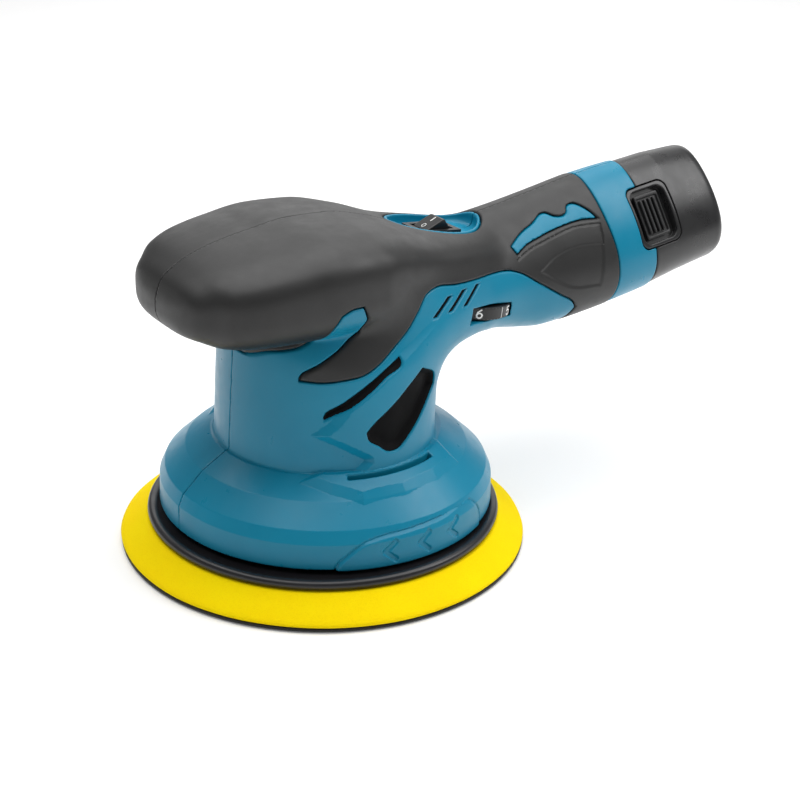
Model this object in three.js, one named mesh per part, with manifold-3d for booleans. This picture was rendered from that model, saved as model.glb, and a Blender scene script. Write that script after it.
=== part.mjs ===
// Cordless dual action polisher: millimetres, +Z up, +X towards the battery.
// The origin lies on the motor's axis, on the plane of the pad's working face.
import * as THREE from "three";
import { ParametricGeometry } from "three/addons/geometries/ParametricGeometry.js";
import { mergeVertices } from "three/addons/utils/BufferGeometryUtils.js";
import Module from "manifold-3d";

const wasm = await Module();
wasm.setup();

// ---- driving dimensions ----
const BODY_SIDES = 16; // facets round each section of the body
const HOLLOW_SIDES = 10;
const SKIRT_SIDES = 36;
const SKIRT_RADIUS = 59.7;
const SKIRT_BOTTOM = 13.6;
const SHOULDER = [57.2, 26.3];
const COLUMN_FOOT = [40.3, 38.8];
const WALL = 2.2;

// Column, neck and handle: concave side x and z, convex side x and z, half width,
// egg factor (narrower on the convex side).
const BODY_STATIONS = [
  [37.7, 34.0, -39.2, 34.0, 39.6, 0],
  [37.8, 44.0, -38.6, 44.0, 39.6, 0],
  [39.0, 55.5, -37.0, 68.0, 40.1, 0],
  [41.6, 60.4, -36.4, 80.0, 39.8, 0],
  [46.0, 62.8, -31.0, 92.0, 38.2, 0],
  [51.3, 63.8, -12.5, 101.0, 35.0, 0],
  [56.5, 64.3, 9.5, 104.5, 31.5, 0],
  [60.5, 64.5, 29.5, 106.2, 28.0, 0.05],
  [64.5, 64.4, 45.5, 106.9, 25.0, 0.1],
  [77.5, 62.0, 71.5, 108.8, 22.4, 0.2],
  [86.5, 60.8, 80.5, 110.2, 22.4, 0.22],
  [95.5, 61.4, 89.5, 111.7, 22.8, 0.24],
  [117.5, 64.2, 111.5, 115.5, 23.4, 0.3],
  [126.5, 65.5, 120.5, 116.6, 23.0, 0.33],
  [136.5, 67.2, 130.5, 117.3, 22.4, 0.36],
];
// Palm rest: x, top z, bottom z, half width.
const PALM_STATIONS = [
  [-65.0, 98.0, 94.0, 5],
  [-64.2, 103.2, 91.0, 15.5],
  [-62.2, 107.0, 88.4, 22.6],
  [-52.2, 112.9, 84.2, 34.2],
  [-42.5, 115.8, 83.2, 38.2],
  [-30.5, 118.0, 82.6, 39.8],
  [-15.5, 120.0, 82.2, 40.8],
  [-0.5, 119.2, 82.2, 39.8],
  [13.5, 116.0, 82.4, 35.4],
  [27.5, 111.8, 82.6, 30.2],
  [51.5, 105.6, 83.4, 21.4],
  [61.5, 103.0, 84.0, 17.0],
];

const SEAM = 0.3; // gap between the two halves
const GRIP_DEPTH = 1.8; // depth of the bed that the soft grip lies in
const GRIP_GAP = 0.3;
const HOLLOW_DEPTH = 3.7; // outer face to hollow inside
const HANDLE_TILT = 7;
const HANDLE_END = [133, 92.2]; // on the handle's axis, where the battery's frame sits
const HOUSING_END = -1.3; // along the handle's axis

// Soft grip's edge seen from the side, x and z: front, fin, fang, neck, handle, collar, top.
const GRIP_OUTLINE = [
  [-75, 76.5], [-36.4, 76.5], [-33.2, 79.6], [-29.6, 81.2], [-26.4, 82.6], [-22.2, 86.2],
  [-20.6, 91.5], [-18.2, 96.0], [-14.5, 97.5], [-10.0, 97.6], [-7.8, 93.0], [-9.2, 88.0],
  [-14.9, 83.2], [-22.8, 77.4], [-27.0, 73.8], [-27.6, 71.8], [-21.2, 71.7], [-15.6, 72.5],
  [-9.8, 73.6], [-5.6, 75.5], [1.3, 79.9], [8.6, 85.0], [14.1, 90.2], [18.4, 94.6], [23.7, 95.8],
  [33.3, 94.3], [46.4, 92.9], [56.2, 92.3], [63.7, 91.4], [68.1, 89.8], [75.9, 85.0], [86.0, 78.8],
  [93.1, 74.4], [95.3, 71.8], [94.6, 66.0], [95.0, 50.0], [116.5, 50.0], [114.4, 69.8],
  [113.6, 82.0], [112.4, 92.0], [110.6, 101.0], [109.0, 112.0], [108.4, 130.0], [-75, 130.0],
];
const WING_OUTLINE = [
  [67.2, 98.3], [68.8, 95.6], [74.0, 97.9], [80.1, 99.4], [90.3, 101.6], [100.0, 102.8], [107.0, 102.6],
  [104.4, 105.3], [98.3, 107.9], [96.4, 107.2], [95.0, 105.4], [90.0, 104.9], [86.6, 106.2], [79.5, 103.6],
  [73.0, 101.3],
];
// Openings, x and z.
const BIG_VENT = [
  [13.1, 72.0], [6.9, 67.9], [-0.1, 62.5], [-7.9, 56.3], [-9.8, 54.0], [-9.0, 51.1], [-5.2, 48.2],
  [-1.4, 45.4], [2.1, 45.2], [7.8, 49.1], [16.8, 58.3], [21.3, 62.7], [20.5, 67.0],
];
const THIN_SLOT = [
  [-21.9, 60.0], [-21.9, 58.4], [-15.0, 62.9], [-8.5, 67.7], [-2.2, 72.3], [4.2, 76.4], [4.0, 77.8],
  [-3.2, 73.8], [-9.9, 69.5], [-16.2, 64.9],
];
const FIN_SLOTS = [[20.2, 86.6], [27.9, 86.8], [35.6, 86.6]];
const FIN_SLOT = [[0, 0], [1.9, 0], [10.6, 4.6], [8.7, 4.6]];
const DIAL_WINDOW = [[39.4, 78.6], [50, 77.0], [60.6, 75.2], [62.6, 77.0], [61.8, 80.8], [51, 82.9], [41.2, 84.2]];

// Switch dish on the neck: half length and half width in its own tilted frame.
const DISH = [18, 11.5];
const DISH_RIM = 1.3;
const SWITCH_CENTRE = [43.5, 104.2];
const SWITCH_TILT = 6; // its floor falls towards the battery
const ROCKER_PIVOT = -0.6;

const DIAL_CENTRE = [51, -9.6, 79.6];
const DIAL_RADIUS = 17.6;
const DIAL_HEIGHT = 4.6;
const DIAL_TILT = 8;

const SCREWS = [[-50, 98], [-29, 56], [28.5, 56], [-27, 104], [52, 69.5], [80, 67.5]]; // x, z
const SCREW_SEAT = 12;

const PAD_AXIS = [-2.8, -2.85]; // the pad's own axis at rest, off the motor's axis
const PAD_RADIUS = 72.5;
const PLATE_RADIUS = 62.8;

const MOTOR_RADIUS = 21;
const MOTOR_BUSH = 2.58;
const SHAFT_RADIUS = 2.5;
const MOTOR_SCREWS = [[14, 0], [-14, 0]];
const FAN_BLADES = 9;

// Battery: along the handle, top, bottom, half width.
const BATTERY_STATIONS = [
  [-9.0, 25.2, -25.0, 22.5],
  [-1.0, 24.9, -24.8, 22.3],
  [14.0, 24.6, -23.4, 22.1],
  [28.0, 24.0, -21.8, 21.8],
  [32.0, 22.8, -20.6, 20.8],
  [34.6, 20.0, -17.8, 18.2],
  [35.8, 15.5, -13.6, 14.0],
];
const CELL_RADIUS = 8.9;
const CELL_TOP = 9.4;
const CELL_SIDE = 9.0;
const CELL_LOW = -6.2;
const TOWER_FRONT = -42;
const LATCH_LEAN = 30; // slant of the battery's side
const LATCH_WINDOW = [-7.5, 12, -14, 9.5]; // along the handle, then up the slanting side
const LATCH_FLOOR = 15.0;
const LATCH_TOP = 19.0;

// ---- helpers ----
const rad = (d) => (d * Math.PI) / 180;

// A closed three.js geometry as a solid, set in a frame.
function solid(geometry, frame) {
  const bare = geometry.clone();
  if (frame) bare.applyMatrix4(frame);
  bare.deleteAttribute("normal");
  bare.deleteAttribute("uv");
  const merged = mergeVertices(bare, 1e-4);
  return new wasm.Manifold(
    new wasm.Mesh({
      numProp: 3,
      vertProperties: merged.attributes.position.array,
      triVerts: Uint32Array.from(merged.index.array),
    }),
  );
}

function geometryOf(body) {
  const mesh = body.getMesh();
  const positions = new Float32Array(mesh.numVert * 3);
  for (let i = 0; i < mesh.numVert; i++)
    positions.set(mesh.vertProperties.subarray(i * mesh.numProp, i * mesh.numProp + 3), i * 3);
  const g = new THREE.BufferGeometry();
  g.setAttribute("position", new THREE.BufferAttribute(positions, 3));
  g.setIndex(new THREE.BufferAttribute(mesh.triVerts, 1));
  g.computeVertexNormals();
  return g;
}

// A skin through closed sections, each a function of the turn 0..1, capped at both ends.
function loft(sections, sides) {
  const last = sections.length - 1;
  const centre = (s) => {
    const c = new THREE.Vector3();
    for (let i = 0; i < sides; i++) c.add(s(i / sides));
    return c.divideScalar(sides);
  };
  const ends = [centre(sections[0]), centre(sections[last])];
  const place = (u, v, target) => {
    const row = Math.round(v * (last + 2)) - 1;
    if (row < 0) target.copy(ends[0]);
    else if (row > last) target.copy(ends[1]);
    else target.copy(sections[row]((Math.round(u * sides) % sides) / sides));
  };
  return solid(new ParametricGeometry(place, sides, last + 2));
}

// An egg-shaped section: half height a, half width b, narrower above when k > 0.
function egg(turn, a, b, k, n = 2) {
  const t = turn * 2 * Math.PI;
  const power = (w) => Math.sign(w) * Math.abs(w) ** (2 / n);
  const h = power(Math.sin(t));
  return [b * power(Math.cos(t)) * (1 - k * h), a * h];
}

// The hollow inside is cut with fewer facets than the skin.
const coarse = (stations) => stations.filter((_, i) => i % 2 === 0 || i === stations.length - 1);

function bodyLoft(inset, stations = BODY_STATIONS, sides = BODY_SIDES) {
  return loft(
    stations.map(([inX, inZ, outX, outZ, b, k]) => (turn) => {
      const a = Math.hypot(outX - inX, outZ - inZ) / 2;
      const [y, h] = egg(turn, a - inset, b - inset, k);
      return new THREE.Vector3(
        (inX + outX) / 2 + (h * (outX - inX)) / (2 * a),
        y,
        (inZ + outZ) / 2 + (h * (outZ - inZ)) / (2 * a),
      );
    }),
    sides,
  );
}

function palmLoft(inset, stations = PALM_STATIONS, sides = BODY_SIDES) {
  return loft(
    stations.map(([x, top, bottom, w]) => (turn) => {
      const [y, h] = egg(turn, Math.max((top - bottom) / 2 - inset, 0.4), Math.max(w - inset, 0.8), 0, 2.15);
      return new THREE.Vector3(x + (x < 0 ? inset : 0) * 0.7, y, (top + bottom) / 2 + h);
    }),
    sides,
  );
}

// A solid of revolution about Z from (radius, z) points: on the axis at both ends, or closed.
function turned(profile, sides = 18, frame) {
  const g = new THREE.LatheGeometry(
    profile.map(([r, z]) => new THREE.Vector2(r, z)),
    sides,
  );
  g.rotateX(Math.PI / 2);
  return solid(g, frame);
}

// A ring's profile, and that of a bearing's outer ring with its two shields.
const ring = (r0, r1, z0, z1) =>
  r0 > 0 ? [[r0, z0], [r1, z0], [r1, z1], [r0, z1], [r0, z0]] : [[0, z0], [r1, z0], [r1, z1], [0, z1]];
const shieldedRing = (shield, r0, r1, z0, z1) => [
  [shield, z0], [r1, z0], [r1, z1], [shield, z1], [shield, z1 - 0.8],
  [r0, z1 - 0.8], [r0, z0 + 0.8], [shield, z0 + 0.8], [shield, z0],
];

function box(low, high, frame) {
  const g = new THREE.BoxGeometry(high[0] - low[0], high[1] - low[1], high[2] - low[2]);
  g.translate((low[0] + high[0]) / 2, (low[1] + high[1]) / 2, (low[2] + high[2]) / 2);
  return solid(g, frame);
}

// An outline of (first, second) points pushed along the third axis.
function extruded(points, depth) {
  const shape = new THREE.Shape(points.map(([a, b]) => new THREE.Vector2(a, b)));
  return new THREE.ExtrudeGeometry(shape, { depth, bevelEnabled: false });
}
const prismZ = (points, z0, z1, frame) => solid(extruded(points, z1 - z0).translate(0, 0, z0), frame);
const prismY = (points, y0, y1, frame) =>
  solid(extruded(points, y1 - y0).rotateX(Math.PI / 2).translate(0, y1, 0), frame);
const prismX = (points, x0, x1, frame) =>
  solid(extruded(points, x1 - x0).rotateX(Math.PI / 2).rotateZ(Math.PI / 2).translate(x0, 0, 0), frame);

function cylinderZ(r, z0, z1, x, y, sides = 18, frame) {
  const g = new THREE.CylinderGeometry(r, r, z1 - z0, sides).rotateX(Math.PI / 2);
  return solid(g.translate(x, y, (z0 + z1) / 2), frame);
}
function cylinderY(r, y0, y1, x, z, sides = 8) {
  return solid(new THREE.CylinderGeometry(r, r, y1 - y0, sides).translate(x, (y0 + y1) / 2, z));
}
function cylinderX(r, x0, x1, y, z, sides = 16) {
  const g = new THREE.CylinderGeometry(r, r, x1 - x0, sides).rotateZ(Math.PI / 2);
  return solid(g.translate((x0 + x1) / 2, y, z));
}

function tube(points, r) {
  const path = new THREE.CatmullRomCurve3(points.map((p) => new THREE.Vector3(...p)));
  const circle = new THREE.Shape(ellipse(r, r, 6).map(([a, b]) => new THREE.Vector2(a, b)));
  return solid(new THREE.ExtrudeGeometry(circle, { steps: 10, bevelEnabled: false, extrudePath: path }));
}

const ellipse = (a, b, sides = 20) =>
  [...Array(sides)].map((_, i) => {
    const t = (i * 2 * Math.PI) / sides;
    return [a * Math.cos(t), b * Math.sin(t)];
  });

// A rectangle with rounded corners.
function roundedBox2(x0, y0, x1, y1, r) {
  const corners = [[x1 - r, y1 - r, 0], [x0 + r, y1 - r, 90], [x0 + r, y0 + r, 180], [x1 - r, y0 + r, 270]];
  return corners.flatMap(([x, y, from]) =>
    [0, 45, 90].map((step) => {
      const t = rad(from + step);
      return [x + r * Math.cos(t), y + r * Math.sin(t)];
    }),
  );
}

// An outline moved outwards by d, whichever way round it runs.
function grown(points, d) {
  const n = points.length;
  let area = 0;
  points.forEach(([x, y], i) => {
    const [nx, ny] = points[(i + 1) % n];
    area += x * ny - nx * y;
  });
  const turn = Math.sign(area);
  return points.map(([x, y], i) => {
    const [px, py] = points[(i + n - 1) % n];
    const [nx, ny] = points[(i + 1) % n];
    const a = new THREE.Vector2(x - px, y - py).normalize();
    const b = new THREE.Vector2(nx - x, ny - y).normalize();
    const out = new THREE.Vector2(a.y + b.y, -a.x - b.x).normalize();
    const reach = d / Math.max(0.5, out.x * a.y - out.y * a.x);
    return [x + turn * out.x * reach, y + turn * out.y * reach];
  });
}

// ---- scene graph ----
const root = new THREE.Group();
const battery = new THREE.Group();
battery.position.set(HANDLE_END[0], 0, HANDLE_END[1]);
battery.rotation.y = -rad(HANDLE_TILT);
root.add(battery);

const paint = (color, roughness, metalness) => new THREE.MeshStandardMaterial({ color, roughness, metalness });
const blue = paint(0x1b7ea8, 0.38, 0);
const rubber = paint(0x2b2b2b, 0.75, 0);
const redLead = paint(0xb3241c, 0.5, 0);
const blackPlastic = paint(0x1d1d1e, 0.5, 0);
const blackGloss = paint(0x232324, 0.3, 0);
const foam = paint(0xffe800, 0.9, 0);
const felt = paint(0x141414, 0.95, 0);
const steel = paint(0xb9bcc0, 0.25, 1);
const darkSteel = paint(0x45474a, 0.4, 1);
const zinc = paint(0x9fa3a6, 0.35, 1);
const castMetal = paint(0xa8aaac, 0.5, 1);
const copper = paint(0xb87333, 0.35, 1);
const brass = paint(0xb5984d, 0.35, 1);
const graphite = paint(0x2f3033, 0.6, 0.1);
const board = paint(0x145c34, 0.6, 0);
const cellGreen = paint(0x2f8f5b, 0.45, 0);

function addTo(group, name, body, material) {
  const mesh = new THREE.Mesh(geometryOf(body), material);
  mesh.name = name;
  group.add(mesh);
}
const add = (name, body, material) => addTo(root, name, body, material);

// ---- placed frames ----
const handleFrame = new THREE.Matrix4()
  .makeRotationY(-rad(HANDLE_TILT))
  .setPosition(HANDLE_END[0], 0, HANDLE_END[1]);
const padFrame = new THREE.Matrix4().makeTranslation(PAD_AXIS[0], PAD_AXIS[1], 0);
const dialFrame = new THREE.Matrix4()
  .makeRotationY(rad(DIAL_TILT))
  .setPosition(DIAL_CENTRE[0], DIAL_CENTRE[1], DIAL_CENTRE[2]);
const switchFrame = new THREE.Matrix4()
  .makeRotationY(rad(SWITCH_TILT))
  .setPosition(SWITCH_CENTRE[0], 0, SWITCH_CENTRE[1]);
// Latch frames: X along the handle, Z out of the battery's slanting side.
const latchFrame = (side) =>
  new THREE.Matrix4().makeRotationX(-side * rad(90 - LATCH_LEAN));

// ---- body solids ----
const skirtOuter = [
  [0, SKIRT_BOTTOM],
  [SKIRT_RADIUS, SKIRT_BOTTOM],
  [SKIRT_RADIUS - 0.3, 22.6],
  SHOULDER,
  [49.0, 32.9],
  COLUMN_FOOT,
  [0, COLUMN_FOOT[1]],
];
const skirtInner = [
  [0, SKIRT_BOTTOM - 1],
  [SKIRT_RADIUS - WALL, SKIRT_BOTTOM - 1],
  [SKIRT_RADIUS - WALL - 0.3, 21.8],
  [SHOULDER[0] - 1.9, SHOULDER[1] - 1.4],
  [47.5, 31.1],
  [38.2, 37.4],
  [33.0, 38.4],
  [0, 38.4],
];
const beyondHandle = box([HOUSING_END, -40, -40], [60, 40, 40], handleFrame);
const outer = bodyLoft(0).add(palmLoft(0)).add(turned(skirtOuter, SKIRT_SIDES)).subtract(beyondHandle);
const dish = (grow) => ellipse(DISH[0] + grow, DISH[1] + grow);

// The region that the soft grip covers, seen from the side, without the switch dish and the wing.
function gripRegion(grow) {
  return prismY(grown(GRIP_OUTLINE, grow), -60, 60)
    .subtract(prismZ(dish(DISH_RIM - grow), -12, 30, switchFrame))
    .subtract(prismY(grown(WING_OUTLINE, -grow), -60, 60));
}

function sideVents() {
  const cuts = FIN_SLOTS.map(([x, z]) =>
    prismY(FIN_SLOT.map(([dx, dz]) => [x + dx, z + dz]), -45, 45),
  );
  return cuts.reduce((all, cut) => all.add(cut), prismY(BIG_VENT, -50, 50).add(prismY(THIN_SLOT, -50, 50)));
}

function footSlot(side) {
  const arc = (r, from, to) =>
    [0, 1, 2, 3, 4, 5, 6].map((i) => {
      const t = rad(from + ((to - from) * i) / 6);
      return [r * Math.sin(t), side * r * Math.cos(t)];
    });
  const ring = [...arc(44.2, -23, 23), ...arc(42.4, 23, -23)];
  return prismZ(side < 0 ? ring : ring.reverse(), 28, 44);
}

// Room for the speed dial inside the wall.
function dialPocket() {
  return cylinderZ(DIAL_RADIUS + 0.5, -DIAL_HEIGHT / 2 - 0.5, DIAL_HEIGHT / 2 + 0.5, 0, 0, 24, dialFrame);
}

function screwBoss([x, z]) {
  return cylinderY(3.6, -40, 40, x, z);
}

// Both halves as one: shell, ledges, switch floor and screw bosses.
function wholeHousing() {
  const skin = bodyLoft(GRIP_DEPTH).add(palmLoft(GRIP_DEPTH));
  const inside = bodyLoft(HOLLOW_DEPTH, coarse(BODY_STATIONS), HOLLOW_SIDES)
    .add(palmLoft(HOLLOW_DEPTH, coarse(PALM_STATIONS), HOLLOW_SIDES))
    .add(turned(skirtInner, 28));
  let fittings = turned(ring(31.5, 38, 39.0, 41.7)).add(
    turned(ring(21.4, 40, 88, 90.5)).intersect(box([-50, -50, 80], [28, 50, 100])),
  );
  fittings = fittings.add(prismZ(dish(2.2), -2, 6, switchFrame));
  SCREWS.forEach((at) => (fittings = fittings.add(screwBoss(at))));
  let body = outer.subtract(inside).add(fittings.intersect(skin));
  body = body
    .subtract(gripRegion(GRIP_GAP / 2).subtract(skin))
    .subtract(prismZ(dish(0), 0, 30, switchFrame))
    .subtract(box([-7.7, -5.4, -14], [7.7, 5.4, 2], switchFrame))
    .subtract(prismY(DIAL_WINDOW, -45, -8))
    .subtract(sideVents())
    .subtract(footSlot(-1))
    .subtract(footSlot(1))
    .subtract(dialPocket())
    .subtract(prismX(cellOutline(10.2), TOWER_FRONT - 3, 5, handleFrame));
  [-1, 1].forEach((side) => (body = body.subtract(latchBlock(side, 0.4, handleFrame))));
  SCREWS.forEach(([x, z]) => {
    body = body
      .subtract(cylinderY(1.6, -9.5, 12, x, z))
      .subtract(cylinderY(3.3, SCREW_SEAT, 60, x, z));
  });
  return body;
}

function wholeGrip() {
  let grip = outer
    .intersect(gripRegion(-GRIP_GAP / 2))
    .subtract(bodyLoft(GRIP_DEPTH - GRIP_GAP).add(palmLoft(GRIP_DEPTH - GRIP_GAP)));
  SCREWS.forEach(([x, z]) => (grip = grip.subtract(cylinderY(3.3, 2, 60, x, z))));
  return grip.subtract(prismY(DIAL_WINDOW, -45, -8));
}

const halfSpace = (side) =>
  side < 0 ? box([-90, -80, -5], [190, -SEAM / 2, 150]) : box([-90, SEAM / 2, -5], [190, 80, 150]);

function makeHousing() {
  const body = wholeHousing();
  const grip = wholeGrip();
  [-1, 1].forEach((side) => {
    const word = side < 0 ? "left" : "right";
    add("housing_" + word, body.intersect(halfSpace(side)), blue);
    add("grip_" + word, grip.intersect(halfSpace(side)), rubber);
  });
  SCREWS.forEach(([x, z], i) =>
    add(
      "housing_screw_" + (i + 1),
      cylinderY(1.4, -8.5, SCREW_SEAT + 0.5, x, z).add(cylinderY(2.9, SCREW_SEAT + 0.3, SCREW_SEAT + 2.6, x, z)),
      darkSteel,
    ),
  );
}

// ---- motor and bearing bracket ----
function makeMotor() {
  const can = turned([
    [MOTOR_BUSH, 47.2], [8.5, 47.2], [8.5, 50], [MOTOR_RADIUS, 50], [MOTOR_RADIUS, 102],
    [MOTOR_RADIUS - 1.6, 102], [MOTOR_RADIUS - 1.6, 52.4], [MOTOR_BUSH, 52.4], [MOTOR_BUSH, 47.2],
  ]);
  add("motor_can", motorScrewHoles(can, 1.4, 49, 54), zinc);
  [-1, 1].forEach((side) => {
    const shell = turned(ring(15.4, MOTOR_RADIUS - 1.9, 57, 93));
    const slab = side < 0 ? box([-12, -25, 50], [12, -1, 100]) : box([-12, 1, 50], [12, 25, 100]);
    add(side < 0 ? "magnet_left" : "magnet_right", shell.intersect(slab), darkSteel);
  });
  const cap = turned([
    [MOTOR_BUSH, 98.5], [MOTOR_RADIUS - 1.9, 98.5], [MOTOR_RADIUS - 1.9, 102.3], [MOTOR_RADIUS, 102.3],
    [MOTOR_RADIUS, 105], [9, 105], [9, 108.5], [MOTOR_BUSH, 108.5], [MOTOR_BUSH, 98.5],
  ]);
  add("motor_end_cap", cap, blackPlastic);
  [-1, 1].forEach((side) =>
    add(
      side < 0 ? "brush_left" : "brush_right",
      box([-2, side < 0 ? -11 : 6.4, 95.2], [2, side < 0 ? -6.4 : 11, 98.2]),
      graphite,
    ),
  );
  const bracket = turned([
    [17.4, 34.5], [21, 34.5], [21, 42], [33, 42], [33, 45], [21.5, 45], [21.5, 49.7],
    [9.5, 49.7], [9.5, 44.4], [17.4, 44.4], [17.4, 34.5],
  ]);
  add("bearing_bracket", motorScrewHoles(bracket, 1.8, 43, 51, 3.2), castMetal);
  add("main_bearing_outer", turned(shieldedRing(11.3, 14.6, 17.2, 35, 44)), steel);
  MOTOR_SCREWS.forEach(([x, y], i) =>
    add(
      "motor_screw_" + (i + 1),
      cylinderZ(2.9, 44.7, 46.6, x, y, 12).add(cylinderZ(1.2, 46, 53.6, x, y, 12)),
      darkSteel,
    ),
  );
}

function motorScrewHoles(body, r, from, to, headRadius = 0) {
  MOTOR_SCREWS.forEach(([x, y]) => {
    body = body.subtract(cylinderZ(r, from, to, x, y, 12));
    if (headRadius) body = body.subtract(cylinderZ(headRadius, 44, 46.9, x, y, 12));
  });
  return body;
}

// ---- what turns with the motor ----
function makeDrive() {
  add("motor_shaft", cylinderZ(SHAFT_RADIUS, 37.4, 111, 0, 0, 18), steel);
  const core = turned(ring(SHAFT_RADIUS + 0.2, 14.6, 60, 88)).subtract(coreSlots());
  add("armature", core, darkSteel);
  add("commutator", turned(ring(SHAFT_RADIUS + 0.2, 6.0, 90, 98)), copper);
  const cup = turned(
    [[13.2, 19.5], [16.2, 19.5], [16.2, 34], [0, 34], [0, 31.8], [8.8, 31.8], [8.8, 29.4], [13.2, 29.4], [13.2, 19.5]],
    18,
    padFrame,
  );
  const journal = turned([[0, 33], [10, 33], [10, 34.8], [8.5, 34.8], [8.5, 46], [0, 46]]);
  add("eccentric_hub", cup.add(journal).subtract(cylinderZ(SHAFT_RADIUS + 0.2, 37, 50, 0, 0, 18)), steel);
  add("main_bearing_inner", turned(ring(8.7, 11.0, 35, 44)), steel);
  const heavySide = Math.atan2(-PAD_AXIS[1], -PAD_AXIS[0]);
  const sector = [...Array(9)].map((_, i) => {
    const t = heavySide + rad(-80 + 20 * i);
    return [60 * Math.cos(t), 60 * Math.sin(t)];
  });
  add(
    "counterweight",
    turned(ring(23, 36, 31.8, 36)).intersect(prismZ([[0, 0], ...sector], 30, 38)),
    castMetal,
  );
  let fan = turned(ring(17, 42, 30, 31.5)).add(turned(ring(12, 18.9, 25, 31.5), 18, padFrame));
  for (let i = 0; i < FAN_BLADES; i++) {
    const turn = new THREE.Matrix4().makeRotationZ((i * 2 * Math.PI) / FAN_BLADES);
    fan = fan.add(box([24.5, -0.65, 21], [41.5, 0.65, 30.4], turn));
  }
  add("cooling_fan", fan.subtract(cylinderZ(16.5, 15, 40, PAD_AXIS[0], PAD_AXIS[1], 18)), blackPlastic);
  add("pad_bearing_outer", turned(shieldedRing(8.5, 10.8, 13.0, 21, 29), 18, padFrame), steel);
  add("retaining_ring", turned(ring(11.2, 13.0, 19.8, 20.7), 18, padFrame), darkSteel);
}

function coreSlots() {
  let slots = box([-1, 10, 59], [1, 16, 89]);
  for (let i = 1; i < 5; i++)
    slots = slots.add(box([-1, 10, 59], [1, 16, 89], new THREE.Matrix4().makeRotationZ((i * 2 * Math.PI) / 5)));
  return slots;
}

// ---- what turns with the pad ----
function makePad() {
  add(
    "pad_spindle",
    turned([
      [4.1, 15.7], [9, 15.7], [9, 18.4], [8, 18.9], [8, 20.7], [6, 20.7], [6, 29], [2.3, 29],
      [2.3, 23.6], [0, 23.6], [0, 22], [4.1, 22], [4.1, 15.7],
    ], 18, padFrame),
    steel,
  );
  add("pad_bearing_inner", turned(ring(6.2, 8.2, 21, 29), 18, padFrame), steel);
  add(
    "bearing_screw",
    turned([[0, 24], [2.1, 24], [2.1, 29.2], [7.6, 29.2], [7.6, 30.6], [6.4, 31.2], [0, 31.2]], 18, padFrame),
    darkSteel,
  );
  add(
    "backing_plate",
    turned([
      [0, 9.6], [PLATE_RADIUS - 0.8, 9.6], [PLATE_RADIUS, 10.3], [PLATE_RADIUS, 11.8], [PLATE_RADIUS - 1.2, 12.6],
      [PLATE_RADIUS - 3.2, 12.4], [PLATE_RADIUS - 4.2, 11.8], [16, 11.8], [13, 15.3], [3.9, 15.3], [3.9, 21.4], [0, 21.4],
    ], 36, padFrame),
    blackPlastic,
  );
  add(
    "foam_pad",
    turned([
      [0, 1.5], [PAD_RADIUS - 0.2, 1.5], [PAD_RADIUS, 2.2], [PAD_RADIUS - 3, 4.2],
      [PLATE_RADIUS + 1.6, 8.2], [PLATE_RADIUS - 0.6, 9.3], [0, 9.3],
    ], 36, padFrame),
    foam,
  );
  add("hook_face", turned([[0, 0], [PAD_RADIUS - 0.6, 0], [PAD_RADIUS - 0.2, 0.4], [PAD_RADIUS - 0.2, 1.2], [0, 1.2]],
    36, padFrame), felt);
}

// ---- switch, dial and electronics ----
function makeControls() {
  const well = box([-6.7, -4.3, -6], [6.7, 4.3, 3], switchFrame);
  const frame = box([-8.6, -6.2, 0.3], [8.6, 6.2, 1.3], switchFrame);
  const body = box([-7.3, -5.0, -11], [7.3, 5.0, 0.5], switchFrame);
  add("switch_body", frame.add(body).subtract(well), blackPlastic);
  const rockerFrame = switchFrame.clone().multiply(new THREE.Matrix4().makeTranslation(0, 0, ROCKER_PIVOT));
  const profile = [[-6.2, -1.2], [-2, -3.2], [2, -3.2], [5.9, 0.6], [5.9, 1.4], [2.6, 5.2], [1.8, 5.2], [-6.2, 0.9]];
  add("rocker", prismY(profile, -4.0, 4.0, rockerFrame), rubber);
  const wheel = new THREE.CylinderGeometry(DIAL_RADIUS, DIAL_RADIUS, DIAL_HEIGHT, 32).rotateX(Math.PI / 2);
  add("speed_dial", solid(wheel, dialFrame).subtract(cylinderZ(3.2, -9, 9, 0, 0, 16, dialFrame)), blackPlastic);
  add(
    "potentiometer",
    box([-6, -6, 2.9], [6, 6, 7.4], dialFrame).add(cylinderZ(2.9, -2.2, 4, 0, 0, 16, dialFrame)),
    brass,
  );
  add("control_board", box([36, -15, 88.4], [77.8, 15, 90]), board);
  let sink = box([58, -10, 90.3], [76, 10, 92]);
  for (let i = 0; i < 5; i++) sink = sink.add(box([58, -10 + 4.6 * i, 91], [76, -8.4 + 4.6 * i, 98]));
  add("heat_sink", sink, castMetal);
  add("terminal_block", box([-54, -12, -10], [-45.2, 12, 4], handleFrame)
    .subtract(box([-48, -9, -7], [-44, -5, 1], handleFrame))
    .subtract(box([-48, 5, -7], [-44, 9, 1], handleFrame)), blackPlastic);
  [-1, 1].forEach((side) => {
    const word = side < 0 ? "red" : "black";
    const paint = side < 0 ? redLead : rubber;
    add("motor_lead_" + word, tube([[12, 9, 106.4], [20, 10, 108], [27, 11, 103], [31, 11.5, 95], [39, 11.5, 91.4]]
      .map(([x, y, z]) => [x, side * y, z]), 1.1), paint);
    add("battery_lead_" + word, tube([[70, 9, 87.2], [71, 9, 83.5], [74, 9, 81.5], [79, 9, 81.3]]
      .map(([x, y, z]) => [x, side * y, z]), 1.1), paint);
  });
}

// ---- battery, built along the handle's own axis ----
const cellCentres = [[0, CELL_TOP], [-CELL_SIDE, CELL_LOW], [CELL_SIDE, CELL_LOW]];

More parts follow.
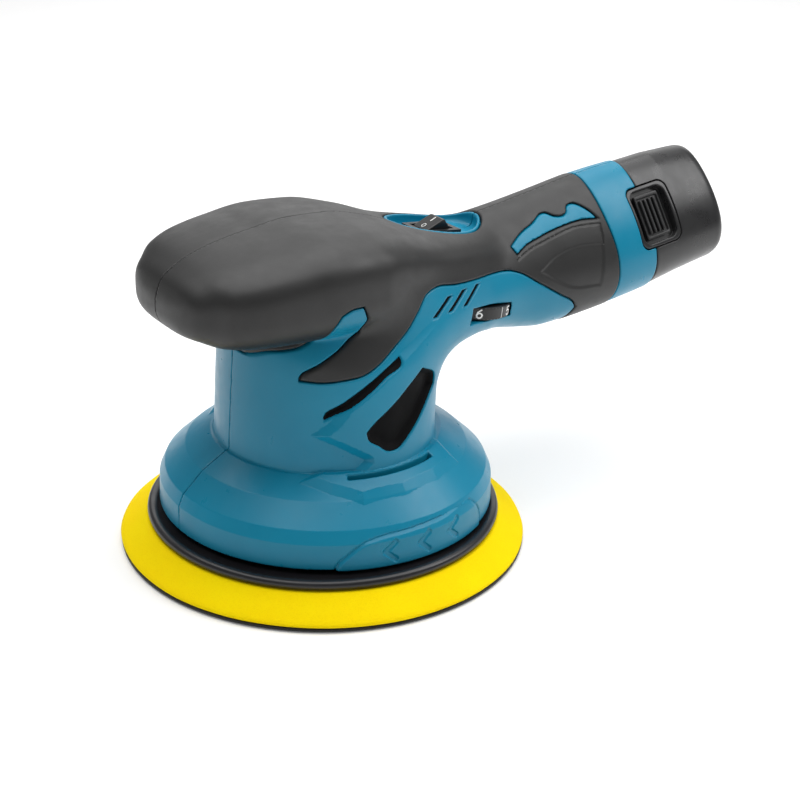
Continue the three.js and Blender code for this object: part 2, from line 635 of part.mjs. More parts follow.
// The rounded triangle that wraps three cells at distance r from their centres.
function cellOutline(r) {
  const corners = [[0, CELL_TOP, 30], [-CELL_SIDE, CELL_LOW, 150], [CELL_SIDE, CELL_LOW, 270]];
  return corners.flatMap(([y, h, from]) =>
    [0, 1, 2, 3, 4, 5].map((i) => {
      const t = rad(from + 24 * i);
      return [y + r * Math.cos(t), h + r * Math.sin(t)];
    }),
  );
}

function latchBlock(side, grow, frame = new THREE.Matrix4()) {
  const [u0, u1, s0, s1] = LATCH_WINDOW;
  const w = roundedBox2(u0 - grow, s0 - grow, u1 + grow, s1 + grow, 3 + grow);
  const m = frame.clone().multiply(latchFrame(side));
  const outline = w.map(([u, s]) => [u, -side * s]);
  return prismZ(side > 0 ? outline.reverse() : outline, LATCH_FLOOR - grow, 40, m);
}

function makeBattery() {
  const shell = loft(
    BATTERY_STATIONS.map(([u, top, bottom, b]) => (turn) => {
      const [y, h] = egg(turn, (top - bottom) / 2, b, 0.37);
      return new THREE.Vector3(u, y, (top + bottom) / 2 + h);
    }),
    BODY_SIDES,
  );
  const base = shell.intersect(box([HOUSING_END + 0.3, -40, -40], [60, 40, 40]));
  let bezels = latchBlock(-1, 0).add(latchBlock(1, 0)).intersect(shell);
  let body = base.add(bezels).subtract(prismX(cellOutline(10.2), -20, 25));
  [-1, 1].forEach((side) => {
    const [u0, u1, s0, s1] = LATCH_WINDOW;
    const m = latchFrame(side);
    const inner = roundedBox2(u0 + 1.3, s0 + 1.3, u1 - 1.3, s1 - 1.3, 2).map(([u, s]) => [u, -side * s]);
    body = body.subtract(prismZ(side > 0 ? inner.reverse() : inner, LATCH_FLOOR + 0.9, 40, m));
  });
  addTo(battery, "battery_case", body, blackGloss);
  addTo(battery, "battery_tower", prismX(cellOutline(9.9), TOWER_FRONT, 24.6)
    .subtract(prismX(cellOutline(9.2), TOWER_FRONT + 1.6, 30)), blackPlastic);
  cellCentres.forEach(([y, h], i) =>
    addTo(battery, "cell_" + (i + 1), cylinderX(CELL_RADIUS, TOWER_FRONT + 3, TOWER_FRONT + 66, y, h)
      .add(cylinderX(3, TOWER_FRONT + 2, TOWER_FRONT + 3.5, y, h)), cellGreen),
  );
  [-1, 1].forEach((side) =>
    addTo(battery, side < 0 ? "contact_minus" : "contact_plus",
      box([TOWER_FRONT - 2.4, side * 7 - 1.4, -5], [TOWER_FRONT - 0.3, side * 7 + 1.4, -1]), brass),
  );
  [-1, 1].forEach((side) => {
    const [u0, u1, s0, s1] = LATCH_WINDOW;
    const m = latchFrame(side);
    const [a, b] = side < 0 ? [s0, s1] : [-s1, -s0];
    let button = box([u0 + 3.6, a + 3.2, LATCH_FLOOR + 2.4], [u1 - 4.4, b - 3.2, LATCH_TOP], m);
    for (let i = 0; i < 4; i++) {
      const u = u0 + 4.6 + (i * (u1 - u0 - 11.4)) / 3;
      button = button.add(box([u, a + 4, LATCH_TOP - 0.2], [u + 1.2, b - 4, LATCH_TOP + 0.8], m));
    }
    addTo(battery, side < 0 ? "latch_left" : "latch_right", button, blackPlastic);
  });
}

makeHousing();
makeMotor();
makeDrive();
makePad();
makeControls();
makeBattery();

export default root;
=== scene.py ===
"""Looks of a cordless dual action polisher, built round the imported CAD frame.

The moulded body, battery, rocker and dial are drawn as signed distance fields in millimetres and
turned into fine meshes. The pad is turned, and the figures are laid on as raised print. Every piece
rides on the CAD body it belongs to.
"""

import functools
import math

import bpy
import numpy as np
import openvdb
from mathutils import Matrix, Vector


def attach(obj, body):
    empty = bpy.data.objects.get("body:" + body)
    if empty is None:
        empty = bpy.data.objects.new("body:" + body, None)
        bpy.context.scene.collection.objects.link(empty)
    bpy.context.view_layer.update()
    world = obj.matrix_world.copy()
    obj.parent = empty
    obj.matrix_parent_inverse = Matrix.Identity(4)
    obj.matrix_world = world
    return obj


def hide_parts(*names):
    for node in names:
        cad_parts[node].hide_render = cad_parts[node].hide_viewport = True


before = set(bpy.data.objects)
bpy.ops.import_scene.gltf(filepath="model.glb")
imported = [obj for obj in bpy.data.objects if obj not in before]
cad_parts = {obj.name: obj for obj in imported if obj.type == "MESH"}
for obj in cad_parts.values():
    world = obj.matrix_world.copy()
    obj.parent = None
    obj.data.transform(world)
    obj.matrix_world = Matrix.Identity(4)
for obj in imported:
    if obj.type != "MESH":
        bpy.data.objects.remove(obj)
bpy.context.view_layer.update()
MM = 0.001  # the fields are in millimetres, the meshes in metres
PITCH = 0.5  # spacing of the body's fine mesh
FINE_PITCH = 0.3  # for the battery
BUTTON_PITCH, DIAL_PITCH, ROCKER_PITCH = 0.25, 0.2, 0.16

# ---- dimensions in millimetres: the CAD part's, with the outline fitted closer to the photograph ----
# Column, neck and handle: concave side x and z, convex side x and z, half width, egg factor.
BODY_STATIONS = [
    [37.0, 20.0, -39.8, 20.0, 40.0, 0],
    [37.0, 34.0, -39.8, 34.0, 40.0, 0],
    [36.6, 44.0, -39.3, 44.0, 40.0, 0],
    [36.5, 55.4, -37.8, 68.0, 40.4, 0],
    [38.6, 61.3, -36.9, 80.0, 40.0, 0],
    [43.0, 64.6, -31.2, 92.0, 38.2, 0],
    [49.4, 65.7, -12.5, 101.0, 35.0, 0],
    [55.6, 65.7, 9.5, 103.6, 31.5, 0],
    [60.2, 65.2, 29.5, 104.6, 28.0, 0.05],
    [64.5, 64.6, 45.5, 105.4, 25.0, 0.1],
    [77.5, 62.0, 71.5, 108.7, 22.4, 0.2],
    [86.5, 60.8, 80.5, 110.2, 22.4, 0.22],
    [95.5, 61.4, 89.5, 111.7, 22.8, 0.24],
    [117.5, 64.2, 111.5, 115.5, 23.4, 0.3],
    [126.5, 65.5, 120.5, 116.6, 23.0, 0.33],
    [140.5, 67.7, 134.5, 117.8, 22.2, 0.36],
]
# Palm rest: x, top z, bottom z, half width.
PALM_STATIONS = [
    [-64.0, 102.4, 91.8, 13.8],
    [-62.2, 105.9, 89.5, 20.0],
    [-57.4, 109.3, 87.2, 25.9],
    [-52.2, 111.7, 85.4, 31.4],
    [-42.5, 114.4, 84.4, 35.8],
    [-30.5, 116.5, 83.9, 37.5],
    [-15.5, 118.3, 83.5, 38.4],
    [-0.5, 117.7, 83.4, 37.5],
    [13.5, 114.6, 83.4, 33.4],
    [27.5, 109.8, 83.5, 28.8],
    [51.5, 104.2, 84.0, 20.6],
    [61.5, 101.6, 84.6, 16.2],
    [74.0, 97.5, 87.0, 10.5],
]
PALM_NOSE = -65.1
HANDLE_TILT = math.radians(7)
HANDLE_END = (133.0, 92.2)
HOUSING_END = -1.3
SEAM = 0.15  # half the gap between the two halves
GRIP_SEAM = 0.07
GRIP_GAP = 0.2  # half the gap round the soft grip
GRIP_DEPTH = 1.8
HOLLOW_DEPTH = 3.7  # how far the inside lies below the outside
BORE_START = -45  # where the handle's bore for the battery tower begins

GRIP_OUTLINE = [
    [-75, 76.5], [-36.4, 76.5], [-33.2, 79.6], [-29.6, 81.2], [-26.4, 82.6], [-22.2, 86.2],
    [-20.6, 91.5], [-18.2, 96.0], [-14.5, 97.5], [-10.0, 97.6], [-7.8, 93.0], [-9.2, 88.0],
    [-14.9, 83.2], [-22.8, 77.4], [-27.0, 73.8], [-27.6, 71.8], [-21.2, 71.7], [-15.6, 72.5],
    [-9.8, 73.6], [-5.6, 75.5], [1.3, 79.9], [8.6, 85.0], [14.1, 90.2], [18.4, 94.6], [23.7, 95.8],
    [33.3, 94.3], [46.4, 92.9], [56.2, 92.3], [63.7, 91.4], [68.1, 89.8], [75.9, 85.0], [86.0, 78.8],
    [93.1, 74.4], [95.3, 71.8], [94.6, 66.0], [95.0, 50.0], [116.5, 50.0], [114.4, 69.8],
    [113.6, 82.0], [112.4, 92.0], [110.6, 101.0], [109.0, 112.0], [108.4, 130.0], [-75, 130.0],
]
WING_OUTLINE = [
    [67.2, 98.3], [68.8, 95.6], [74.0, 97.9], [80.1, 99.4], [90.3, 101.6], [100.0, 102.8], [107.0, 102.6],
    [104.4, 105.3], [98.3, 107.9], [96.4, 107.2], [95.0, 105.4], [90.0, 104.9], [86.6, 106.2], [79.5, 103.6],
    [73.0, 101.3],
]
BIG_VENT = [
    [13.1, 72.0], [6.9, 67.9], [-0.1, 62.5], [-7.9, 56.3], [-9.8, 54.0], [-9.0, 51.1], [-5.2, 48.2],
    [-1.4, 45.4], [2.1, 45.2], [7.8, 49.1], [16.8, 58.3], [21.3, 62.7], [20.5, 67.0],
]
THIN_SLOT = [
    [-21.9, 60.0], [-21.9, 58.4], [-15.0, 62.9], [-8.5, 67.7], [-2.2, 72.3], [4.2, 76.4], [4.0, 77.8],
    [-3.2, 73.8], [-9.9, 69.5], [-16.2, 64.9],
]
FIN_SLOTS = [[20.2, 86.6], [27.9, 86.8], [35.6, 86.6]]
FIN_SLOT = [[0, -0.5], [2.6, -0.5], [11.0, 4.8], [8.4, 4.8]]
DIAL_WINDOW = [[39.4, 78.6], [50, 77.0], [60.6, 75.2], [62.6, 77.0], [61.8, 80.8], [51, 82.9], [41.2, 84.2]]
# The raised panel round the big vent, and the moulded panel on the skirt's side.
VENT_PANEL = [
    [-25.6, 53.1], [-18.2, 49.1], [-9.4, 43.5], [-15.9, 38.0], [-14, 30], [60, 30], [60, 95], [20, 86],
    [4, 78.5], [-8, 70.5], [-16, 64.5], [-20.5, 58.0],
]
SIDE_PANEL = [
    [-28.6, 8], [-28.6, 14], [-24.7, 18.8], [-19.8, 22.3], [-16.1, 23.3], [-5.1, 24.1], [8.2, 24.6],
    [25, 24.4], [29.6, 19.3], [30.5, 8],
]
# The raised facet on the skirt's top, as x and y.
SKIRT_FACET = [
    [-30.7, 31.5], [-24.1, 41.1], [-16.1, 48.8], [-0.2, 50.9], [14.6, 48.1], [28.2, 41.9], [25.2, 29],
    [0, 34],
]
HANDLE_PANEL = [[77.5, 88.6], [85, 92.6], [93.6, 94.6], [106.4, 94.4], [105.4, 86], [104.6, 79.4], [92, 80.5]]
HANDLE_LINE = [[68.2, 94.2], [75, 96.6], [82.3, 98.2], [96.1, 101.0], [107.2, 100.9], [106.6, 94.4]]
CHEVRON_TIPS = [[-13.5, 18.6], [-0.5, 19.0], [12.5, 19.4]]
CHEVRON_ARM = (3.6, 3.2)
# How far the panels stand proud, and how deep the chevrons and the handle's facet and line are sunk.
PANEL_RISE = 1.6
FACET_RISE = 1.5
SIDE_PANEL_RISE = 0.45
CHEVRON_DEPTH = 0.5
HANDLE_DEPTH = 0.4

# The skirt's outside and its hollow, as radius and z.
SKIRT_OUTLINE = [
    [-9, 13.6], [59.7, 13.6], [59.4, 22.6], [57.5, 26.9], [50.0, 33.8], [41.0, 39.0], [-9, 39.0],
]
SKIRT_HOLLOW_OUTLINE = [
    [-9, 5], [57.5, 5], [57.2, 21.8], [55.3, 24.9], [47.5, 31.1], [38.2, 37.4], [-9, 38.4],
]
SKIRT_TOP = 40  # the skirt's facets are drawn below this level
FOOT_RADIUS = 43.3  # the curved slot on the skirt's top, at the column's foot
FOOT_HALF_WIDTH = 0.9
FOOT_HALF_ANGLE = 23
FOOT_MM_PER_DEGREE = 0.75
FOOT_LOW, FOOT_HIGH = 28, 44

DISH = (18.0, 11.5)
DISH_RIM = 1.3
SWITCH_CENTRE = (43.5, 104.2)
SWITCH_TILT = math.radians(6)
ROCKER_PIVOT = -0.6
ROCKER_PROFILE = [
    [-6.2, -1.2], [-2, -3.2], [2, -3.2], [5.9, 0.6], [5.9, 1.4], [2.6, 5.2], [1.8, 5.2], [-6.2, 0.9],
]
ROCKER_HALF_WIDTH = 4.0
ROCKER_GROOVES = (-5.4, 3.6, 4.6)
GROOVE_RADIUS = 0.28
# The well that the rocker sits in, in the switch's own coordinates.
WELL_HALF_LENGTH = 7.7
WELL_HALF_WIDTH = 5.4
WELL_MIDDLE, WELL_HALF_DEPTH = -6, 8
DIAL_CENTRE = Vector((51, -9.6, 79.6))
DIAL_TILT = math.radians(8)
DIAL_RADIUS = 17.6
DIAL_HEIGHT = 4.6
DIAL_GAP = 0.5
DIAL_HOLE = 3.2
DIAL_KNURLS = 36
DIAL_SIX = -106.0  # where the 6 stands on the rim, in degrees
DIAL_STEP = 48.0
DIGIT_SIZE, DIGIT_STROKE = 1.3, 0.36
DIGIT_SPREAD = 1.25  # how much wider the digits stand than they are drawn
SCREWS = [[-50, 98], [-29, 56], [28.5, 56], [-27, 104], [52, 69.5], [80, 67.5]]
SCREW_BOSS = 3.6
SCREW_HOLE = 1.6
SCREW_HEAD = 3.3
SCREW_SEAT = 12  # how far out from the seam the screws' heads sit

BATTERY_STATIONS = [
    [-9.0, 25.2, -25.0, 22.5],
    [-1.0, 24.9, -24.8, 22.3],
    [14.0, 24.6, -23.4, 22.1],
    [28.0, 23.4, -22.6, 21.8],
    [37.0, 22.4, -22.4, 21.5],
]
BATTERY_END = 35.8
CELLS = [[0, 9.4], [-9.0, -6.2], [9.0, -6.2]]
CELL_BORE = 10.2
CELL_BORE_END = 25
LATCH_LEAN = math.radians(30)
LATCH_WINDOW = (-7.5, 12.0, -14.0, 9.5)
LATCH_FLOOR = 15.0
LATCH_CORNER = 3.5
BUTTON_BOTTOM, BUTTON_TRAY, BUTTON_TOP, BUTTON_RIB_TOP = 17.75, 18.3, 19.0, 19.7
BUTTON_RIBS = 4
BUTTON_RIB_PITCH, BUTTON_RIB_WIDTH = 2.15, 1.15
PAD_AXIS = Vector((-2.8, -2.85, 0))
# Half sections of the pad, as radius and z.
FOAM_PROFILE = [
    [0, 1.45], [30, 1.45], [60, 1.45], [71.6, 1.45], [72.3, 1.7], [72.5, 2.2], [72.2, 2.8], [71.0, 3.7],
    [69.0, 5.0], [66.8, 6.5], [65.0, 7.7], [64.0, 8.6], [63.2, 9.2], [62.2, 9.35], [50, 9.35], [0, 9.35],
]
PILE_PROFILE = [
    [0, 0.0], [40, 0.0], [71.9, 0.0], [72.3, 0.2], [72.4, 0.7], [72.2, 1.15], [71.6, 1.25], [40, 1.25],
    [0, 1.25],
]
PLATE_PROFILE = [
    [0, 9.6], [60, 9.6], [61.8, 9.7], [62.6, 10.2], [62.9, 11.0], [62.7, 11.9], [62.2, 12.5], [61.4, 12.8],
    [60.2, 12.7], [59.2, 12.2], [58.6, 11.9], [40, 11.8], [16, 11.8], [13.2, 15.3], [3.9, 15.3],
    [3.9, 21.4], [0, 21.4],
]
# The camera: where it stands, and its elevation, azimuth and roll in degrees.
EYE_PLACE = (-0.27741, -0.43690, 0.28053)
EYE_ANGLES = (24.13, 35.30, 1.46)


# ---- fields: signed distances, negative inside ----
def rounded_max(a, b, r):
    """The greater of two fields, with the edge where they cross rounded over r."""
    h = np.maximum(r - np.abs(a - b), 0) / r
    return np.maximum(a, b) + h * h * r / 4


def rounded_min(a, b, r):
    """The lesser of two fields, with the corner where they cross filled over r."""
    return -rounded_max(-a, -b, r)


def meet(*fields):
    """Inside only where every field is inside."""
    return functools.reduce(np.maximum, fields)


def slab(value, middle, half):
    """Negative where the value is within half of the middle."""
    return np.abs(value - middle) - half


def ramp(t):
    """Rises smoothly from 0 to 1 as t does."""
    t = np.clip(t, 0, 1)
    return t * t * (3 - 2 * t)


def smooth_curve(x, y, at):
    """A monotone cubic through the points (x, y), read at the places given."""
    x, y = np.asarray(x, float), np.asarray(y, float)
    h = np.diff(x)
    d = np.diff(y) / h
    m = np.zeros_like(y)
    for i in range(1, len(x) - 1):
        if d[i - 1] * d[i] > 0:
            w1, w2 = 2 * h[i] + h[i - 1], h[i] + 2 * h[i - 1]
            m[i] = (w1 + w2) / (w1 / d[i - 1] + w2 / d[i])
    m[0], m[-1] = d[0], d[-1]
    i = np.clip(np.searchsorted(x, at, side="right") - 1, 0, len(x) - 2)
    t = np.clip((at - x[i]) / h[i], 0, 1)
    return ((1 + 2 * t) * (1 - t) ** 2 * y[i] + t * (1 - t) ** 2 * h[i] * m[i]
            + t * t * (3 - 2 * t) * y[i + 1] + t * t * (t - 1) * h[i] * m[i + 1])


def flowing(points, corner=50, steps=5, closed=True):
    """An outline with smooth curves between its points, and a corner wherever it turns sharply."""
    p = np.asarray(points, float)
    n = len(p)
    back, fore = p - np.roll(p, 1, 0), np.roll(p, -1, 0) - p
    turn = np.abs(np.arctan2(back[:, 0] * fore[:, 1] - back[:, 1] * fore[:, 0], (back * fore).sum(1)))
    lb, lf = np.linalg.norm(back, axis=1), np.linalg.norm(fore, axis=1)
    smooth = turn < math.radians(corner)
    if not closed:
        smooth[0] = smooth[-1] = False
    slope = back / lb[:, None] * lf[:, None] + fore / lf[:, None] * lb[:, None]
    slope = slope / (lb + lf)[:, None]
    out = []
    for i in range(n if closed else n - 1):
        j = (i + 1) % n
        chord = p[j] - p[i]
        length = np.linalg.norm(chord)
        a = slope[i] * length if smooth[i] else chord
        b = slope[j] * length if smooth[j] else chord
        for t in np.arange(steps) / steps:
            out.append((1 + 2 * t) * (1 - t) ** 2 * p[i] + t * (1 - t) ** 2 * a
                       + t * t * (3 - 2 * t) * p[j] + t * t * (t - 1) * b)
    if not closed:
        out.append(p[-1])
    return np.array(out)


def to_line(px, pz, points, closed=True):
    """Distance to a line, and whether each place lies inside it."""
    best = np.full(np.broadcast(px, pz).shape, 1e9)
    inside = np.zeros(best.shape, bool)
    ends = np.roll(points, -1, axis=0)
    pairs = list(zip(points, ends))
    for (ax, az), (bx, bz) in pairs if closed else pairs[:-1]:
        ex, ez = bx - ax, bz - az
        t = np.clip(((px - ax) * ex + (pz - az) * ez) / (ex * ex + ez * ez + 1e-12), 0, 1)
        best = np.minimum(best, (px - ax - t * ex) ** 2 + (pz - az - t * ez) ** 2)
        if ez:
            inside ^= ((az > pz) != (bz > pz)) & (px < ax + (pz - az) / ez * ex)
    return np.sqrt(best), inside


def outline_field(px, pz, points):
    distance, inside = to_line(px, pz, np.asarray(points, float))
    return np.where(inside, -distance, distance)


class Plane:
    """Values on a regular grid over two coordinates, read smoothly in between."""

    def __init__(self, low, high, pitch=0.25):
        self.low, self.pitch = np.array(low, float), pitch
        self.size = np.ceil((np.array(high) - low) / pitch).astype(int) + 1
        self.a = (low[0] + pitch * np.arange(self.size[0]))[:, None]
        self.b = (low[1] + pitch * np.arange(self.size[1]))[None, :]

    def read(self, values, a, b):
        i = np.clip((a - self.low[0]) / self.pitch, 0, self.size[0] - 1.001)
        j = np.clip((b - self.low[1]) / self.pitch, 0, self.size[1] - 1.001)
        i0, j0 = i.astype(np.int32), j.astype(np.int32)
        u, v = i - i0, j - j0
        return ((values[i0, j0] * (1 - u) + values[i0 + 1, j0] * u) * (1 - v)
                + (values[i0, j0 + 1] * (1 - u) + values[i0 + 1, j0 + 1] * u) * v)


SIDE = Plane((-70, 8), (140, 124))  # the body seen from the side: x and z


def side_map(values):
    values = values.astype(np.float32)
    return lambda x, z: SIDE.read(values, x, z)


def side_outline(points, corner=50):
    return side_map(outline_field(SIDE.a, SIDE.b, flowing(points, corner) if corner else points))


def softened(values, reach=5):
    """The values averaged over a small square."""
    for axis in (0, 1):
        values = np.moveaxis(values, axis, 0)
        padded = np.concatenate([values[:1]] * reach + [values] + [values[-1:]] * reach)
        values = sum(padded[i:i + len(values)] for i in range(2 * reach + 1)) / (2 * reach + 1)
        values = np.moveaxis(values, 0, axis)
    return values


def section_maps():
    """For each place on the side view: how far along its section it lies (-1 to 1), and the section's
    half height and half width there."""
    rows = np.array(BODY_STATIONS, float)
    middle = (rows[:, :2] + rows[:, 2:4]) / 2
    run = np.r_[0, np.cumsum(np.linalg.norm(np.diff(middle, axis=0), axis=1) + 1e-3)]
    at = np.linspace(0, run[-1], 420)
    ix, iz, ox, oz, b, k = (smooth_curve(run, rows[:, c], at) for c in range(6))
    x, z = np.broadcast_arrays(SIDE.a, SIDE.b)
    height, half, wide = (np.full(x.shape, v) for v in (9.0, 20.0, 20.0))
    previous = None
    for i in range(len(at)):
        dx, dz = ox[i] - ix[i], oz[i] - iz[i]
        length = math.hypot(dx, dz)
        off = (dx * (z - iz[i]) - dz * (x - ix[i])) / length
        h = 2 * ((x - ix[i]) * dx + (z - iz[i]) * dz) / length**2 - 1
        now = (off, h, length / 2, b[i], k[i])
        if previous is not None:
            p_off, p_h, p_half, p_b, p_k = previous
            t = np.clip(p_off / np.where(p_off == off, 1, p_off - off), 0, 1)
            h_here = p_h + t * (h - p_h)
            better = (p_off * off <= 0) & (np.abs(h_here) < np.abs(height))
            height = np.where(better, h_here, height)
            half = np.where(better, p_half + t * (length / 2 - p_half), half)
            factor = 1 - (p_k + t * (k[i] - p_k)) * np.clip(h_here, -1.3, 1.3)
            wide = np.where(better, (p_b + t * (b[i] - p_b)) * factor, wide)
        previous = now
    even = softened(height)
    calm = (np.abs(height) < 1.1) & (np.abs(even - height) < 0.04)
    pairs = ((even, height), (softened(half), half), (softened(wide), wide))
    return [side_map(np.where(calm, soft, sharp)) for soft, sharp in pairs]


BODY_H, BODY_A, BODY_B = section_maps()

palm_rows = np.array(PALM_STATIONS, float)
palm_x = np.arange(PALM_NOSE, 74, 0.01)
palm_t = np.sqrt(palm_x - PALM_NOSE)
palm_top, palm_bottom, palm_w = (
    smooth_curve(np.r_[0, np.sqrt(palm_rows[:, 0] - PALM_NOSE)], np.r_[start, palm_rows[:, c]], palm_t)
    for c, start in ((1, 96.9), (2, 96.5), (3, 0.2))
)
PALM_A = (palm_top - palm_bottom) / 2
PALM_C = (palm_top + palm_bottom) / 2
PALM_SLOPES = [np.gradient(v, palm_x) for v in (PALM_A, PALM_C, palm_w)]
PALM_POWER = 3.3


def body_field(x, y, z):
    h, a, b = BODY_H(x, z), BODY_A(x, z), BODY_B(x, z)
    q = np.sqrt(h * h + (y / b) ** 2)
    slope = np.sqrt((h / a) ** 2 + (y / b**2) ** 2) / np.maximum(q, 1e-3)
    return (q - 1) / np.maximum(slope, 0.02)


def palm_field(x, y, z):
    a, c, w = (np.interp(x, palm_x, v) for v in (PALM_A, PALM_C, palm_w))
    da, dc, dw = (np.interp(x, palm_x, v) for v in PALM_SLOPES)
    h, v = (z - c) / a, np.abs(y) / w
    h_abs = np.abs(h)
    hn, vn = h_abs ** (PALM_POWER - 1), v ** (PALM_POWER - 1)
    q = np.maximum(hn * h_abs + vn * v, 1e-4) ** (1 / PALM_POWER)
    gx = -hn * np.sign(h) * (dc + h * da) / a - vn * v * dw / w
    slope = np.sqrt(gx**2 + (vn / w) ** 2 + (hn / a) ** 2) / q ** (PALM_POWER - 1)
    f = (q - 1) / np.maximum(slope, 0.02)
    beyond = PALM_NOSE - x
    return np.where(beyond > 0, np.hypot(np.maximum(f, 0), beyond), np.maximum(f, beyond))


SKIRT_PLANE = Plane((0, 0), (100, 130), 0.25)
SKIRT = outline_field(SKIRT_PLANE.a, SKIRT_PLANE.b, SKIRT_OUTLINE).astype(np.float32)
SKIRT_HOLLOW = outline_field(SKIRT_PLANE.a, SKIRT_PLANE.b, SKIRT_HOLLOW_OUTLINE).astype(np.float32)

GRIP = side_outline(GRIP_OUTLINE, corner=34)
WING = side_outline(WING_OUTLINE)
PANEL = side_outline(VENT_PANEL, corner=0)
HANDLE_FACET = side_outline(HANDLE_PANEL)
HANDLE_CREASE = side_map(to_line(SIDE.a, SIDE.b, flowing(HANDLE_LINE, closed=False), closed=False)[0])
WINDOW = side_outline(DIAL_WINDOW, corner=0)
SIDE_PLATE = side_outline(SIDE_PANEL)
vents = outline_field(SIDE.a, SIDE.b, flowing(BIG_VENT))
vents = np.minimum(vents, outline_field(SIDE.a, SIDE.b, flowing(THIN_SLOT, corner=70)))
for slot_x, slot_z in FIN_SLOTS:
    fin = [[slot_x + dx, slot_z + dz] for dx, dz in FIN_SLOT]
    vents = np.minimum(vents, outline_field(SIDE.a, SIDE.b, fin))
VENTS = side_map(vents)
chevrons = np.full(vents.shape, 9.0)
for tip_x, tip_z in CHEVRON_TIPS:
    arm_x = tip_x + CHEVRON_ARM[0]
    line = np.array([[arm_x, tip_z + CHEVRON_ARM[1]], [tip_x, tip_z], [arm_x, tip_z - CHEVRON_ARM[1]]])
    chevrons = np.minimum(chevrons, to_line(SIDE.a, SIDE.b, line, closed=False)[0] - 0.9)
CHEVRONS = side_map(chevrons)

TOP = Plane((-62, 0), (62, 62))
FACET = outline_field(TOP.a, TOP.b, SKIRT_FACET).astype(np.float32)


def handle_coords(x, z):
    """Along the handle and up from its axis, measured from where the battery starts."""
    dx, dz = x - HANDLE_END[0], z - HANDLE_END[1]
    c, s = math.cos(HANDLE_TILT), math.sin(HANDLE_TILT)
    return dx * c + dz * s, dz * c - dx * s


def switch_coords(x, z):
    """Along the rocker and up from the switch's middle, square to the dish."""
    dx, dz = x - SWITCH_CENTRE[0], z - SWITCH_CENTRE[1]
    c, s = math.cos(SWITCH_TILT), math.sin(SWITCH_TILT)
    return dx * c - dz * s, dz * c + dx * s


def dish_field(x, y, z):
    u, _ = switch_coords(x, z)
    q = np.sqrt((u / DISH[0]) ** 2 + (y / DISH[1]) ** 2)
    slope = np.sqrt((u / DISH[0] ** 2) ** 2 + (y / DISH[1] ** 2) ** 2) / np.maximum(q, 1e-3)
    return (q - 1) / np.maximum(slope, 0.02)


def latch_field(u, y, h, grow):
    """The block that the latch's bezel fills, in the handle's coordinates; y counts outwards."""
    s = -y * math.sin(LATCH_LEAN) + h * math.cos(LATCH_LEAN)
    n = y * math.cos(LATCH_LEAN) + h * math.sin(LATCH_LEAN)
    u0, u1, s0, s1 = LATCH_WINDOW
    r = LATCH_CORNER
    du = slab(u, (u0 + u1) / 2, (u1 - u0) / 2) - grow + r
    ds = slab(s, (s0 + s1) / 2, (s1 - s0) / 2) - grow + r
    side = np.sqrt(np.maximum(du, 0) ** 2 + np.maximum(ds, 0) ** 2) + np.minimum(np.maximum(du, ds), 0) - r
    return np.maximum(side, LATCH_FLOOR - grow - n), s, n


def cell_field(y, h):
    """The rounded triangle that wraps the three cells."""
    return outline_field(y, h, CELLS) - CELL_BORE


def bare_body(x, y, z):
    """Column, neck, handle and palm rest, without the skirt and any detail. They flow into each other
    most widely along the neck."""
    blend = 1.5 + 9 * ramp((x + 25) / 38) * ramp((76 - x) / 42)
    return rounded_min(body_field(x, y, z), palm_field(x, y, z), blend)


def outer_field(x, y, z, bare):
    """The outside of the moulding with its panels; y counts outwards from the middle."""
    radius = np.sqrt(x * x + y * y)
    skirt = SKIRT_PLANE.read(SKIRT, radius, z)
    skirt = skirt - FACET_RISE * np.clip(-TOP.read(FACET, x, y) / 2.6, 0, 1) * (z < SKIRT_TOP)
    plate = SIDE_PLATE(x, z)
    outward = (y > 30) & (z < 25.5)
    rise = SIDE_PANEL_RISE * ramp(0.5 - plate / 0.9)
    groove = SIDE_PANEL_RISE * np.exp(-((plate - 0.5) / 0.35) ** 2)
    skirt = skirt - outward * (rise - groove)
    skirt = skirt + outward * CHEVRON_DEPTH * ramp(0.5 - CHEVRONS(x, z) / 0.6)
    fade = ramp((48 - x) / 34) * ramp((90 - z) / 16) * (y > 18)
    side = bare - PANEL_RISE * np.clip(-PANEL(x, z) / 2.4, 0, 1) * fade
    side = side + HANDLE_DEPTH * ramp(0.5 - HANDLE_FACET(x, z) / 1.6) * (y > 8)
    side = side + HANDLE_DEPTH * ramp(1 - HANDLE_CREASE(x, z) / 0.55) * (y > 4)
    whole = rounded_min(side, skirt, 0.8)
    along, _ = handle_coords(x, z)
    return rounded_max(whole, along - HOUSING_END, 0.9)


def grip_region(x, y, z):
    """Negative where the soft grip covers the moulding."""
    region = rounded_max(GRIP(x, z), -WING(x, z), 0.4)
    _, above = switch_coords(x, z)
    dish = np.where(above > -12, dish_field(x, y, z) - DISH_RIM, 9)
    return np.maximum(region, -dish)


